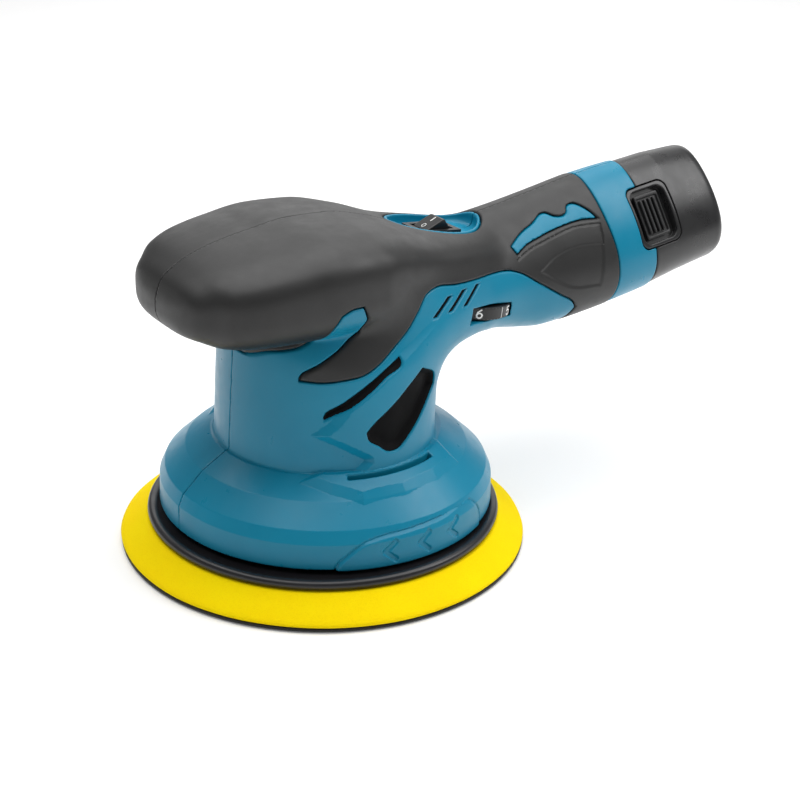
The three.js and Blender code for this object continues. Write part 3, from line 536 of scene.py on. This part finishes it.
def shell_field(side):
    """One blue half: side is -1 for the half with the dial window, 1 for the half with the screws."""

    def field(x, y_signed, z):
        y = y_signed * side
        bare = bare_body(x, np.abs(y), z)
        outer = outer_field(x, y, z, bare)
        bed = GRIP_GAP - grip_region(x, y, z)
        f = np.minimum(rounded_max(outer, bed, 0.55), outer + GRIP_DEPTH)
        along, up = handle_coords(x, z)
        notch, _, _ = latch_field(along, y, up, 0.4)
        sw_u, sw_n = switch_coords(x, z)
        dish = rounded_max(dish_field(x, y, z), -(sw_n + 0.06 * np.maximum(np.abs(y) - 5, 0) ** 2), 3.0)
        well_depth = slab(sw_n, WELL_MIDDLE, WELL_HALF_DEPTH)
        well = meet(slab(sw_u, 0, WELL_HALF_LENGTH), y - WELL_HALF_WIDTH, well_depth)
        f = rounded_max(f, -dish, 0.7)
        f = rounded_max(f, -VENTS(x, z), 0.7)
        radius, angle = np.sqrt(x * x + y * y), np.degrees(np.arctan2(x, y))
        round_foot = slab(angle, 0, FOOT_HALF_ANGLE) * FOOT_MM_PER_DEGREE
        foot = meet(slab(radius, FOOT_RADIUS, FOOT_HALF_WIDTH), round_foot, FOOT_LOW - z, z - FOOT_HIGH)
        f = rounded_max(f, -foot, 0.5)
        hollow = bare + HOLLOW_DEPTH
        hollow = np.minimum(hollow, SKIRT_PLANE.read(SKIRT_HOLLOW, radius, z))
        ledge = meet(31.5 - radius, radius - 38, slab(z, 40.35, 1.35))
        rib = meet(21.4 - radius, slab(z, 89.25, 1.25), x - 28)
        floor = np.maximum(dish_field(x, y, z) - 2.2, slab(sw_n, 2, 4))
        fittings = np.minimum(np.minimum(ledge, rib), floor)
        for sx, sz in SCREWS:
            fittings = np.minimum(fittings, np.hypot(x - sx, z - sz) - SCREW_BOSS)
        f = np.maximum(f, -np.maximum(hollow, -fittings))
        f = rounded_max(f, -notch, 0.5)
        f = np.maximum(f, -well)
        bore = np.maximum(cell_field(y, up), BORE_START - along)
        f = np.maximum(f, -bore)
        if side < 0:
            f = rounded_max(f, -np.maximum(WINDOW(x, z), 8 - y), 0.5)
            f = np.maximum(f, -dial_room(x, y_signed, z))
        for sx, sz in SCREWS if side > 0 else ():
            away = np.hypot(x - sx, z - sz)
            hole = np.minimum(away - SCREW_HOLE, np.maximum(away - SCREW_HEAD, SCREW_SEAT - y))
            f = np.maximum(f, -hole)
        return rounded_max(f, SEAM - y, 0.3)

    return field


def vent_shade_field(side):
    """Painted shade: a thin black sheet just inside the wall, behind the vents, with black plugs in the vent
    openings and the foot slot, standing in for the shade inside them.
    """

    def field(x, y_signed, z):
        y = y_signed * side
        bare = bare_body(x, np.abs(y), z)
        # Painted shade: a black sheet just inside the wall behind the column and neck.
        layer = np.abs(bare + HOLLOW_DEPTH + 0.9) - 0.5
        column = meet(slab(x, 2, 31), slab(z, 64, 22), 14 - y)
        neck = meet(slab(x, 35, 15), slab(z, 88.5, 4), 12 - y)
        f = np.maximum(layer, np.minimum(column, neck))
        outer = outer_field(x, y, z, bare)
        opening = VENTS(x, z)
        # Painted shade: black plugs that fill the vent openings from just below the surface.
        depth = 0.7 + 2.1 * ramp(-opening / 2.6)
        shade_plug = meet(opening - 0.35, outer + depth, -(outer + 5.0), 12 - y)
        # Painted shade: a black block that fills the foot slot on the skirt's top.
        foot = meet(slab(np.hypot(x, y), FOOT_RADIUS, 1.1), slab(x, 0, 17.2), slab(z, 35.0, 2.2))
        f = np.minimum(np.minimum(f, shade_plug), foot)
        for sx, sz in SCREWS:
            f = np.maximum(f, SCREW_BOSS + 1 - np.hypot(x - sx, z - sz))
        return f

    return field


def dial_room(x, y, z):
    """The space that the dial turns in."""
    c, s = math.cos(DIAL_TILT), math.sin(DIAL_TILT)
    dx, dz = x - DIAL_CENTRE.x, z - DIAL_CENTRE.z
    u, w = dx * c - dz * s, dz * c + dx * s
    away = np.hypot(u, y - DIAL_CENTRE.y)
    return np.maximum(away - DIAL_RADIUS - DIAL_GAP, slab(w, 0, DIAL_HEIGHT / 2) - DIAL_GAP)


def grip_field(side):
    """One half of the soft black overmould."""

    def field(x, y_signed, z):
        y = y_signed * side
        bare = bare_body(x, np.abs(y), z)
        outer = outer_field(x, y, z, bare)
        f = rounded_max(outer - 0.2 * ramp((x + 62) / 8), grip_region(x, y, z) + GRIP_GAP, 0.9)
        f = np.maximum(f, -(outer + GRIP_DEPTH - 0.3))
        for sx, sz in SCREWS if side > 0 else ():
            f = rounded_max(f, SCREW_HEAD - np.hypot(x - sx, z - sz), 0.4)
        return rounded_max(f, GRIP_SEAM - y, 0.2)

    return field


battery_rows = np.array(BATTERY_STATIONS, float)


def battery_shape(u, y, h):
    """The battery's outside, before its latches are cut."""
    top, bottom, b = (np.interp(u, battery_rows[:, 0], battery_rows[:, c]) for c in (1, 2, 3))
    a, c = (top - bottom) / 2, (top + bottom) / 2
    q_h = (h - c) / a
    wide = b * (1 - 0.37 * np.clip(q_h, -1.3, 1.3))
    q = np.sqrt(q_h**2 + (y / wide) ** 2)
    slope = np.sqrt((q_h / a) ** 2 + (y / wide**2) ** 2) / np.maximum(q, 1e-3)
    f = (q - 1) / np.maximum(slope, 0.02)
    return rounded_max(f, u - BATTERY_END, 5.5)


def battery_field(u, y, h):
    """The battery's case in the handle's own coordinates."""
    shape = battery_shape(u, y, h)
    away = np.abs(y)
    block, _, n = latch_field(u, away, h, 0)
    bezel = rounded_max(np.maximum(block, -0.1 - away), shape, 0.6)
    f = np.minimum(rounded_max(shape, HOUSING_END + 0.3 - u, 0.8), bezel)
    pocket, _, _ = latch_field(u, away, h, -1.4)
    f = rounded_max(f, -np.maximum(pocket, LATCH_FLOOR + 0.9 - n), 0.6)
    groove = np.abs(shape + 0.1) - 0.25
    rim = np.abs(latch_field(u, away, h, 0.25)[0]) - 0.22
    f = rounded_max(f, -np.maximum(rim, -groove - 0.6), 0.3)
    hollow = np.maximum(cell_field(y, h), u - CELL_BORE_END)
    return np.maximum(f, -hollow)


def latch_button(u, y, h):
    """The ribbed button in the battery's slanting side; y counts outwards."""
    _, s, n = latch_field(u, y, h, 0)
    u0, u1, s0, s1 = LATCH_WINDOW

    def block(u_low, u_high, s_low, s_high, top):
        long = slab(u, (u_low + u_high) / 2, (u_high - u_low) / 2)
        wide = slab(s, (s_low + s_high) / 2, (s_high - s_low) / 2)
        return rounded_max(rounded_max(long, wide, 0.8), n - top, 0.5)

    f = block(u0 + 3.6, u1 - 4.4, s0 + 3.2, s1 - 3.2, BUTTON_TOP)
    tray = block(u0 + 4.4, u1 - 5.2, s0 + 4.4, s1 - 4.6, 30.0)
    f = rounded_max(f, -np.maximum(tray, BUTTON_TRAY - n), 0.4)
    for i in range(BUTTON_RIBS):
        at = u0 + 5.2 + BUTTON_RIB_PITCH * i
        f = rounded_min(f, block(at, at + BUTTON_RIB_WIDTH, s0 + 5.0, s1 - 5.2, BUTTON_RIB_TOP), 0.2)
    return np.maximum(f, BUTTON_BOTTOM - n)


# ---- meshes from fields ----
def gradient(field, p, step=0.05):
    """The field's values at the points, and its slope there in each direction."""
    here = field(*p.T)
    g = np.empty_like(p)
    for axis in range(3):
        moved = p.copy()
        moved[:, axis] += step
        g[:, axis] = (field(*moved.T) - here) / step
    return here, g


def draw(name, field, low, high, pitch, place=Matrix.Identity(4)):
    """A mesh of the surface where the field is nothing, fitted to it more closely than the grid."""
    low, high = np.array(low, float), np.array(high, float)
    size = np.ceil((high - low) / pitch).astype(int) + 1
    xs, ys, zs = (low[i] + pitch * np.arange(size[i]) for i in range(3))
    values = np.empty(size, np.float32)
    for i in range(0, size[0], 24):
        values[i:i + 24] = field(xs[i:i + 24, None, None], ys[None, :, None], zs[None, None, :])
    grid = openvdb.FloatGrid(4.0)
    grid.copyFromArray(np.clip(values, -4, 4))
    points, _, faces = grid.convertToPolygons(isovalue=0.0, adaptivity=0.0)
    p = np.asarray(points, float) * pitch + low
    faces = np.asarray(faces, np.int64)
    start, first = p.copy(), None
    for _ in range(2):
        here, g = gradient(field, p)
        first = here if first is None else first
        steepness = (g * g).sum(1)
        move = -(here / np.maximum(steepness, 0.5))[:, None] * g
        reach = np.linalg.norm(move, axis=1)
        p += move * np.minimum(1, 0.3 * pitch / np.maximum(reach, 1e-9))[:, None]
    here, g = gradient(field, p)
    worse = np.abs(here) > np.abs(first)
    p[worse] = start[worse]
    normals = g / np.maximum(np.linalg.norm(g, axis=1), 1e-9)[:, None]
    flat = np.cross(p[faces[:, 1]] - p[faces[:, 0]], p[faces[:, 2]] - p[faces[:, 0]])
    if (flat * normals[faces[:, 0]]).sum() < 0:
        faces, flat = faces[:, ::-1], -flat
    around = np.zeros_like(p)
    for corner in range(faces.shape[1]):
        for axis in range(3):
            around[:, axis] += np.bincount(faces[:, corner], flat[:, axis], len(p))
    around /= np.maximum(np.linalg.norm(around, axis=1), 1e-9)[:, None]
    astray = (normals * around).sum(1) < 0.75
    normals[astray] = around[astray]
    turn = np.array(place.to_3x3())
    p = p @ turn.T + np.array(place.translation)
    return mesh_object(name, p, faces, normals @ turn.T)


def mesh_object(name, points, faces, normals=None):
    """A smooth mesh from points in millimetres and faces that all have as many corners."""
    mesh = bpy.data.meshes.new(name)
    faces = np.ascontiguousarray(faces)
    mesh.vertices.add(len(points))
    mesh.vertices.foreach_set("co", (points * MM).astype(np.float32).ravel())
    mesh.loops.add(faces.size)
    mesh.loops.foreach_set("vertex_index", faces.astype(np.int32).ravel())
    mesh.polygons.add(len(faces))
    mesh.polygons.foreach_set("loop_start", np.arange(0, faces.size, faces.shape[1], dtype=np.int32))
    mesh.update(calc_edges=True)
    mesh.shade_smooth()
    if normals is not None:
        mesh.normals_split_custom_set_from_vertices(normals.astype(np.float32))
    ob = bpy.data.objects.new(name, mesh)
    bpy.context.scene.collection.objects.link(ob)
    return ob


def turned(name, profile, centre, segments=256, waver=None):
    """A closed skin of revolution about Z from (radius, z) points that start and end on the axis."""
    profile = np.asarray(profile, float)
    angle = np.arange(segments) * 2 * math.pi / segments
    rings = profile[1:-1]
    r = rings[:, 0][:, None] * np.ones_like(angle)
    z = rings[:, 1][:, None] * np.ones_like(angle)
    if waver is not None:
        r, z = waver(r, z, angle[None, :])
    p = np.stack([r * np.cos(angle) + centre.x, r * np.sin(angle) + centre.y, z + centre.z], -1)
    p = p.reshape(-1, 3)
    n = len(rings)
    i, j = np.meshgrid(np.arange(n - 1), np.arange(segments), indexing="ij")
    k = (j + 1) % segments
    quads = np.stack([i * segments + j, i * segments + k, (i + 1) * segments + k, (i + 1) * segments + j], -1)
    mesh = bpy.data.meshes.new(name)
    first = [centre.x, centre.y, centre.z + profile[0, 1]]
    last = [centre.x, centre.y, centre.z + profile[-1, 1]]
    p = np.vstack([p, [first, last]])
    fans = [(len(p) - 2, (s + 1) % segments, s) for s in range(segments)]
    top = (n - 1) * segments
    fans += [(len(p) - 1, top + s, top + (s + 1) % segments) for s in range(segments)]
    mesh.from_pydata((p * MM).tolist(), [], [tuple(q) for q in quads.reshape(-1, 4)] + fans)
    mesh.update()
    mesh.shade_smooth()
    ob = bpy.data.objects.new(name, mesh)
    bpy.context.scene.collection.objects.link(ob)
    return ob


def finish_piece(ob, material, body, stands_for=()):
    """Gives a piece its material and its CAD body, and hides the CAD nodes that it takes over."""
    ob.data.materials.clear()
    ob.data.materials.append(material)
    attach(ob, body)
    if stands_for:
        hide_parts(*stands_for)
    return ob


# ---- materials ----
def linear(hex_colour):
    """A colour written as 0xRRGGBB, as the linear values that a shader takes."""
    srgb = [(hex_colour >> s & 255) / 255 for s in (16, 8, 0)]
    return [c / 12.92 if c <= 0.04045 else ((c + 0.055) / 1.055) ** 2.4 for c in srgb] + [1.0]


class Nodes:
    """A material's node tree, built a node at a time."""

    def __init__(self, name):
        self.material = bpy.data.materials.new(name)
        self.material.use_nodes = True
        self.tree = self.material.node_tree
        self.shader = self.tree.nodes["Principled BSDF"]
        self.coords = self.add("ShaderNodeTexCoord").outputs["Object"]

    def add(self, kind, inputs=(), **settings):
        node = self.tree.nodes.new(kind)
        for key, value in settings.items():
            setattr(node, key, value)
        for key, value in dict(inputs).items():
            if isinstance(value, bpy.types.NodeSocket):
                self.tree.links.new(value, node.inputs[key])
            else:
                node.inputs[key].default_value = value
        return node

    def noise(self, scale, detail=2.0, roughness=0.5, coords=None):
        inputs = {"Vector": coords or self.coords, "Scale": scale, "Detail": detail, "Roughness": roughness}
        return self.add("ShaderNodeTexNoise", inputs).outputs["Fac"]

    def spread(self, value, low, high, from_low=0.3, from_high=0.7):
        inputs = {"Value": value, "From Min": from_low, "From Max": from_high, "To Min": low, "To Max": high}
        return self.add("ShaderNodeMapRange", inputs).outputs["Result"]

    def mix(self, factor, a, b):
        node = self.add("ShaderNodeMix", data_type="RGBA")
        for socket, value in ((node.inputs[0], factor), (node.inputs[6], a), (node.inputs[7], b)):
            if isinstance(value, bpy.types.NodeSocket):
                self.tree.links.new(value, socket)
            else:
                socket.default_value = value
        return node.outputs[2]

    def bump(self, height, strength, distance, normal=None):
        inputs = {"Height": height, "Strength": strength, "Distance": distance}
        if normal is not None:
            inputs["Normal"] = normal
        return self.add("ShaderNodeBump", inputs).outputs["Normal"]

    def set(self, **values):
        for key, value in values.items():
            socket = self.shader.inputs[key.replace("_", " ")]
            if isinstance(value, bpy.types.NodeSocket):
                self.tree.links.new(value, socket)
            else:
                socket.default_value = value
        return self


def plastic(name, colour, other, roughness, grain, strength, gloss=0.5, scuff=0.06):
    """Moulded plastic: faint streaks of colour, fine spark texture and uneven gloss."""
    m = Nodes(name)
    cloud = m.noise(28, 3)
    fine = m.noise(grain, 2)
    smear = m.noise(160, 4, 0.6)
    m.set(
        Base_Color=m.mix(m.spread(cloud, 0, 1), linear(colour), linear(other)),
        Roughness=m.spread(smear, roughness - scuff, roughness + scuff),
        Normal=m.bump(fine, strength, 0.00006),
        Specular_IOR_Level=gloss,
    )
    return m.material


def metal(name, colour, roughness, streak=(1, 1, 1), scale=900):
    """Turned, cast or plated metal: fine lines or grains, tarnished a little."""
    m = Nodes(name)
    stretched = m.add("ShaderNodeMapping", {"Vector": m.coords, "Scale": streak}).outputs["Vector"]
    lines = m.noise(scale, 3, 0.6, stretched)
    tarnish = m.noise(70, 4)
    light = linear(colour)
    dark = [c * 0.72 for c in light[:3]] + [1.0]
    m.set(
        Base_Color=m.mix(m.spread(tarnish, 0, 1), light, dark),
        Metallic=1.0,
        Roughness=m.spread(lines, roughness - 0.07, roughness + 0.12),
        Normal=m.bump(lines, 0.25, 0.00005),
    )
    return m.material


def foam_material():
    """Open yellow foam: fine pores over faint patches of colour."""
    m = Nodes("yellow_foam")
    cells = m.add("ShaderNodeTexVoronoi", {"Vector": m.coords, "Scale": 1500.0}).outputs["Distance"]
    patches = m.noise(45, 3)
    fine = m.noise(2600, 2)
    pores = m.spread(cells, 0, 1, 0.05, 0.6)
    body = m.mix(m.spread(patches, 0, 1), linear(0xFFE200), linear(0xFFDB00))
    m.set(
        Base_Color=m.mix(m.spread(pores, 0.12, 0), body, linear(0xE2B400)),
        Roughness=m.spread(fine, 0.82, 0.95),
        Normal=m.bump(fine, 0.3, 0.00008, m.bump(pores, 0.35, 0.00012)),
        Specular_IOR_Level=0.1,
        Subsurface_Weight=0.1,
        Subsurface_Radius=(0.004, 0.003, 0.001),
        Subsurface_Scale=0.4,
    )
    return m.material


def pile_material():
    """The hook layer's short black pile."""
    m = Nodes("hook_face")
    hooks = m.add("ShaderNodeTexVoronoi", {"Vector": m.coords, "Scale": 1100.0}).outputs["Distance"]
    fuzz = m.noise(1800, 3)
    m.set(
        Base_Color=m.mix(m.spread(fuzz, 0, 1), linear(0x161617), linear(0x2A2A2C)),
        Roughness=m.spread(fuzz, 0.85, 0.98),
        Normal=m.bump(hooks, 0.6, 0.0002),
        Sheen_Weight=0.25,
        Sheen_Roughness=0.5,
    )
    return m.material


BLUE = plastic("blue_shell", 0x077C9C, 0x0A83A3, 0.33, 2600, 0.10, gloss=0.32)
GRIP_RUBBER = plastic("soft_grip", 0x1E1E1E, 0x242424, 0.46, 3200, 0.35, scuff=0.05)
GLOSS_BLACK = plastic("battery_gloss", 0x202021, 0x252526, 0.3, 1800, 0.05, gloss=0.5)
BLACK = plastic("black_plastic", 0x161617, 0x1D1D1E, 0.4, 2600, 0.2)
FOAM, PILE = foam_material(), pile_material()
# Near black for the painted shade in the vents and the foot slot.
PAINTED_SHADE_BLACK = plastic("painted_shade_black", 0x050506, 0x09090A, 0.7, 2600, 0.2, gloss=0.12)
ROCKER_BLACK = plastic("rocker_black", 0x101011, 0x161617, 0.34, 2600, 0.12)
DIAL_BLACK = plastic("dial_black", 0x101011, 0x171718, 0.42, 3000, 0.25)
PLATE_BLACK = plastic("plate_black", 0x18171A, 0x1F1E21, 0.33, 1800, 0.15)
WHITE_PRINT = plastic("white_print", 0xF2F2F0, 0xE9E9E6, 0.5, 2600, 0.1)

CAD_MATERIALS = {
    "blue_shell": BLUE,
    "soft_grip": GRIP_RUBBER,
    "black_steel": metal("black_steel", 0x2B2B2D, 0.42),
    "zinc": metal("zinc", 0xB9BCC0, 0.34, (1, 1, 0.1)),
    "black_plastic": BLACK,
    "dial_black": DIAL_BLACK,
    "rocker_black": ROCKER_BLACK,
    "graphite": plastic("graphite", 0x2A2A2C, 0x38383A, 0.55, 1800, 0.3),
    "cast_metal": metal("cast_metal", 0x9A9C9F, 0.5, scale=1500),
    "steel": metal("steel", 0xC4C6C8, 0.26, (1, 1, 0.08)),
    "brass": metal("brass", 0xC9A24A, 0.32),
    "copper": metal("copper", 0xB8692F, 0.34, (0.1, 0.1, 1)),
    "board": plastic("board", 0x1E5A33, 0x256A3D, 0.38, 900, 0.15),
    "red_lead": plastic("red_lead", 0xB01C1C, 0xC02424, 0.42, 1500, 0.1),
    "black_lead": plastic("black_lead", 0x151516, 0x1D1D1E, 0.42, 1500, 0.1),
    "yellow_foam": FOAM,
    "hook_face": PILE,
    "battery_gloss": GLOSS_BLACK,
    "cell_wrap": plastic("cell_wrap", 0x2F7F9A, 0x388BA6, 0.3, 700, 0.08),
}
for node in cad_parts.values():
    for slot in node.material_slots:
        slot.material = CAD_MATERIALS[slot.material.name.split(".")[0]]


# ---- the moulded body ----
def half_span(side, inner, outer):
    """The range of y that one half's grid covers."""
    return (-outer, -inner) if side < 0 else (inner, outer)


SIDES = ((-1, "left"), (1, "right"))
TOP_Z, LOW_Z = 122.5, 12.0
for side, word in SIDES:
    y0, y1 = half_span(side, -1.0, 62.5)
    shell = draw("shell_" + word, shell_field(side), (-67, y0, LOW_Z), (135, y1, TOP_Z), PITCH)
    finish_piece(shell, BLUE, "housing", ["housing_" + word])

    y0, y1 = half_span(side, -1.0, 43)
    grip = draw("overmould_" + word, grip_field(side), (-67.5, y0, 59), (117, y1, TOP_Z), PITCH)
    finish_piece(grip, GRIP_RUBBER, "housing", ["grip_" + word])

    # Painted shade: black pieces behind the vents and in the foot slot.
    y0, y1 = half_span(side, 11, 46)
    vent_shade = draw("vent_painted_shade_" + word, vent_shade_field(side), (-31, y0, 31), (52, y1, 94), PITCH)
    finish_piece(vent_shade, PAINTED_SHADE_BLACK, "housing")

# ---- the battery ----
handle_place = Matrix.Translation((HANDLE_END[0], 0, HANDLE_END[1])) @ Matrix.Rotation(-HANDLE_TILT, 4, "Y")
case = draw("battery_shell", battery_field, (-9, -24.5, -27), (37, 24.5, 27), FINE_PITCH, handle_place)
finish_piece(case, GLOSS_BLACK, "battery", ["battery_case"])
for side, word in SIDES:
    y0, y1 = half_span(side, 8, 25)
    button = draw(
        "latch_button_" + word,
        lambda u, y, h, side=side: latch_button(u, y * side, h),
        (-6, y0, -3), (9, y1, 20), BUTTON_PITCH, handle_place,
    )
    finish_piece(button, BLACK, "latch_" + word, ["latch_" + word])

# ---- switch and dial ----
switch_place = Matrix.Translation((SWITCH_CENTRE[0], 0, SWITCH_CENTRE[1]))
switch_place = switch_place @ Matrix.Rotation(SWITCH_TILT, 4, "Y") @ Matrix.Translation((0, 0, ROCKER_PIVOT))
dial_place = Matrix.Translation(DIAL_CENTRE) @ Matrix.Rotation(DIAL_TILT, 4, "Y")


def rocker_top(x):
    """The level of the rocker's upper side, which is the end of its profile read backwards."""
    top = np.array(ROCKER_PROFILE[:3:-1])
    return np.interp(x, top[:, 0], top[:, 1])


def rocker_field(x, y, z):
    """The rocker, with a few fine grooves across its ends."""
    f = rounded_max(outline_field(x, z, ROCKER_PROFILE), slab(y, 0, ROCKER_HALF_WIDTH), 0.45)
    for at in ROCKER_GROOVES:
        f = rounded_max(f, GROOVE_RADIUS - np.hypot(x - at, z - rocker_top(at) - 0.12), 0.2)
    return f


rocker = draw("rocker_cap", rocker_field, (-7, -4.6, -4), (6.8, 4.6, 6.0), ROCKER_PITCH, switch_place)
finish_piece(rocker, ROCKER_BLACK, "rocker", ["rocker"])


def dial_field(x, y, z):
    """The speed wheel: fine knurls round the rim, and a hole for the shaft."""
    r, angle = np.hypot(x, y), np.arctan2(y, x)
    knurl = 0.22 * np.maximum(np.abs(np.sin(angle * DIAL_KNURLS)) - 0.35, 0) * (np.abs(z) > 1.75)
    f = rounded_max(r - DIAL_RADIUS + knurl, slab(z, 0, DIAL_HEIGHT / 2), 0.35)
    return np.maximum(f, DIAL_HOLE - r)


dial = draw("dial_wheel", dial_field, (-18.2, -18.2, -2.8), (18.2, 18.2, 2.8), DIAL_PITCH, dial_place)
finish_piece(dial, DIAL_BLACK, "dial", ["speed_dial"])


def stroke(points, width):
    """Flat quads along a line, as corners in two dimensions."""
    quads = []
    for (ax, ay), (bx, by) in zip(points, points[1:]):
        d = Vector((bx - ax, by - ay)).normalized() * width / 2
        quads.append([(ax - d.x - d.y, ay - d.y + d.x), (ax - d.x + d.y, ay - d.y - d.x),
                      (bx + d.x + d.y, by + d.y - d.x), (bx + d.x - d.y, by + d.y + d.x)])
    return quads


def arc(cx, cy, rx, ry, start, end, steps=14):
    """Points along part of an ellipse, between two angles in degrees."""
    turns = [math.radians(start + (end - start) * i / steps) for i in range(steps + 1)]
    return [(cx + rx * math.cos(t), cy + ry * math.sin(t)) for t in turns]


# Each digit as lines through points, about one unit wide and two high.
DIGITS = {
    1: [[(-0.35, 0.75), (0.1, 1.1), (0.1, -1.1)]],
    2: [arc(0, 0.5, 0.62, 0.6, 170, -45) + [(-0.62, -1.1), (0.66, -1.1)]],
    3: [arc(0, 0.52, 0.56, 0.56, 150, -90) + arc(0, -0.52, 0.62, 0.58, 90, -150)],
    4: [[(0.3, -1.1), (0.3, 1.1), (-0.7, -0.45), (0.75, -0.45)]],
    5: [[(0.55, 1.1), (-0.45, 1.1), (-0.52, 0.12)] + arc(0, -0.38, 0.64, 0.7, 130, -140)],
    6: [arc(0, -0.42, 0.62, 0.66, 0, 360), [(-0.6, -0.3), (-0.42, 0.5), (0.3, 1.15)]],
}


def prints(name, marks, lay, depth=0.12):
    """Raised white print: each mark is a list of quads, laid on a surface by the function given."""
    vertices, faces = [], []
    for quad in marks:
        base = len(vertices)
        vertices += [lay(a, b, -depth) for a, b in quad] + [lay(a, b, depth) for a, b in quad]
        faces += [(base, base + 1, base + 2, base + 3), (base + 7, base + 6, base + 5, base + 4)]
        faces += [(base + i, base + 4 + i, base + 4 + (i + 1) % 4, base + (i + 1) % 4) for i in range(4)]
    mesh = bpy.data.meshes.new(name)
    mesh.from_pydata([tuple(Vector(v) * MM) for v in vertices], [], faces)
    mesh.update()
    ob = bpy.data.objects.new(name, mesh)
    bpy.context.scene.collection.objects.link(ob)
    return ob


def on_rim(angle, size):
    """Lays marks round the dial's rim at an angle, upright."""

    def lay(a, b, out):
        turn = math.radians(angle) + a * size * DIGIT_SPREAD / DIAL_RADIUS
        r = DIAL_RADIUS + out * 0.7
        return dial_place @ Vector((r * math.cos(turn), r * math.sin(turn), b * size))

    return lay


for step, digit in enumerate((6, 5, 4, 3, 2, 1)):
    quads = [q for line in DIGITS[digit] for q in stroke(line, DIGIT_STROKE)]
    mark = prints("dial_digit_%d" % digit, quads, on_rim(DIAL_SIX + DIAL_STEP * step, DIGIT_SIZE))
    finish_piece(mark, WHITE_PRINT, "dial")
    tick = prints("dial_tick_%d" % digit, stroke([(0, -1.8), (0, 1.8)], 0.2),
                  on_rim(DIAL_SIX + DIAL_STEP * (step + 0.7), 1.0))
    finish_piece(tick, WHITE_PRINT, "dial")


def on_rocker(at):
    """Lays marks on the rocker's sloping top, at a distance from its pivot."""
    slope = 4.3 / 8

    def lay(a, b, out):
        return switch_place @ Vector((at + b, a, rocker_top(at) + 0.02 + slope * b + out * 0.5))

    return lay


rocker_on = prints("rocker_on", stroke([(-0.1, -0.9), (-0.1, 0.9)], 0.42), on_rocker(0.3))
finish_piece(rocker_on, WHITE_PRINT, "rocker")
rocker_off = prints("rocker_off", stroke(arc(0, 0, 0.75, 0.75, 0, 360, 18), 0.32), on_rocker(-3.4))
finish_piece(rocker_off, WHITE_PRINT, "rocker")


# ---- the pad ----
def foam_waver(r, z, angle):
    """A cut foam disc is never quite true."""
    edge = ramp((r - 60) / 12)
    lift = 0.12 * np.sin(3 * angle + 0.7) + 0.07 * np.sin(7 * angle + 2.1) + 0.04 * np.sin(17 * angle)
    return r + edge * lift * 0.8, z + edge * lift * 0.6 * (z > 2)


foam = turned("foam_disc", FOAM_PROFILE, PAD_AXIS, waver=foam_waver)
finish_piece(foam, FOAM, "pad", ["foam_pad"])
pile = turned("hook_layer", PILE_PROFILE, PAD_AXIS)
finish_piece(pile, PILE, "pad", ["hook_face"])
plate = turned("plate_disc", PLATE_PROFILE, PAD_AXIS)
finish_piece(plate, PLATE_BLACK, "pad", ["backing_plate"])


# ---- floor, light, camera ----
def add_area(name, location, target, size, power):
    """A rectangular light that points at the target."""
    light = bpy.data.lights.new(name, "AREA")
    light.shape = "RECTANGLE"
    light.size, light.size_y = size
    light.energy = power
    lamp = bpy.data.objects.new(name, light)
    lamp.location = location
    lamp.rotation_euler = (Vector(target) - Vector(location)).to_track_quat("-Z", "Y").to_euler()
    bpy.context.scene.collection.objects.link(lamp)


def floor():
    """A pale floor just under the pad, with a faint glow of its own."""
    n, reach, level = 24, 3.0, -0.3
    line = np.linspace(-reach, reach, n) / MM
    x, y = np.meshgrid(line, line, indexing="ij")
    p = np.stack([x, y, np.full_like(x, level)], -1).reshape(-1, 3)
    i, j = np.meshgrid(np.arange(n - 1), np.arange(n - 1), indexing="ij")
    faces = np.stack([i * n + j, (i + 1) * n + j, (i + 1) * n + j + 1, i * n + j + 1], -1).reshape(-1, 4)
    ob = mesh_object("floor", p, faces)
    m = Nodes("pale_floor")
    m.set(
        Base_Color=m.mix(m.spread(m.noise(6, 3), 0, 1), linear(0xF4F4F4), linear(0xF7F7F7)),
        Roughness=0.6,
        Emission_Color=linear(0xFFFFFF),
        Emission_Strength=0.12,
    )
    ob.data.materials.append(m.material)


floor()
world = bpy.data.worlds.new("studio")
bpy.context.scene.world = world
world.use_nodes = True
background = world.node_tree.nodes["Background"]
background.inputs["Color"].default_value = (1, 1, 1, 1)
background.inputs["Strength"].default_value = 0.25
add_area("overhead", (0.05, 0.1, 1.0), (0.03, 0, 0.06), (1.4, 1.2), 14)
add_area("key", (0.7, -0.4, 0.75), (0.04, 0, 0.07), (0.5, 0.5), 3.4)
add_area("backlight", (0.85, 1.05, 0.62), (0.03, 0, 0.1), (1.5, 0.8), 4.3)
bpy.context.scene.view_settings.view_transform = "Standard"

camera = bpy.data.cameras.new("camera")
camera.lens, camera.sensor_width = 72, 36
eye = bpy.data.objects.new("camera", camera)
angles = [math.radians(a) for a in EYE_ANGLES]
ce, ca, cr = (math.cos(a) for a in angles)
se, sa, sr = (math.sin(a) for a in angles)
right, up, ahead = Vector((ca, -sa, 0)), Vector((sa * se, ca * se, ce)), Vector((sa * ce, ca * ce, -se))
right, up = cr * right + sr * up, cr * up - sr * right
facing = Matrix((right, up, -ahead)).transposed().to_4x4()
eye.matrix_world = Matrix.Translation(EYE_PLACE) @ facing
bpy.context.scene.collection.objects.link(eye)
bpy.context.scene.camera = eye
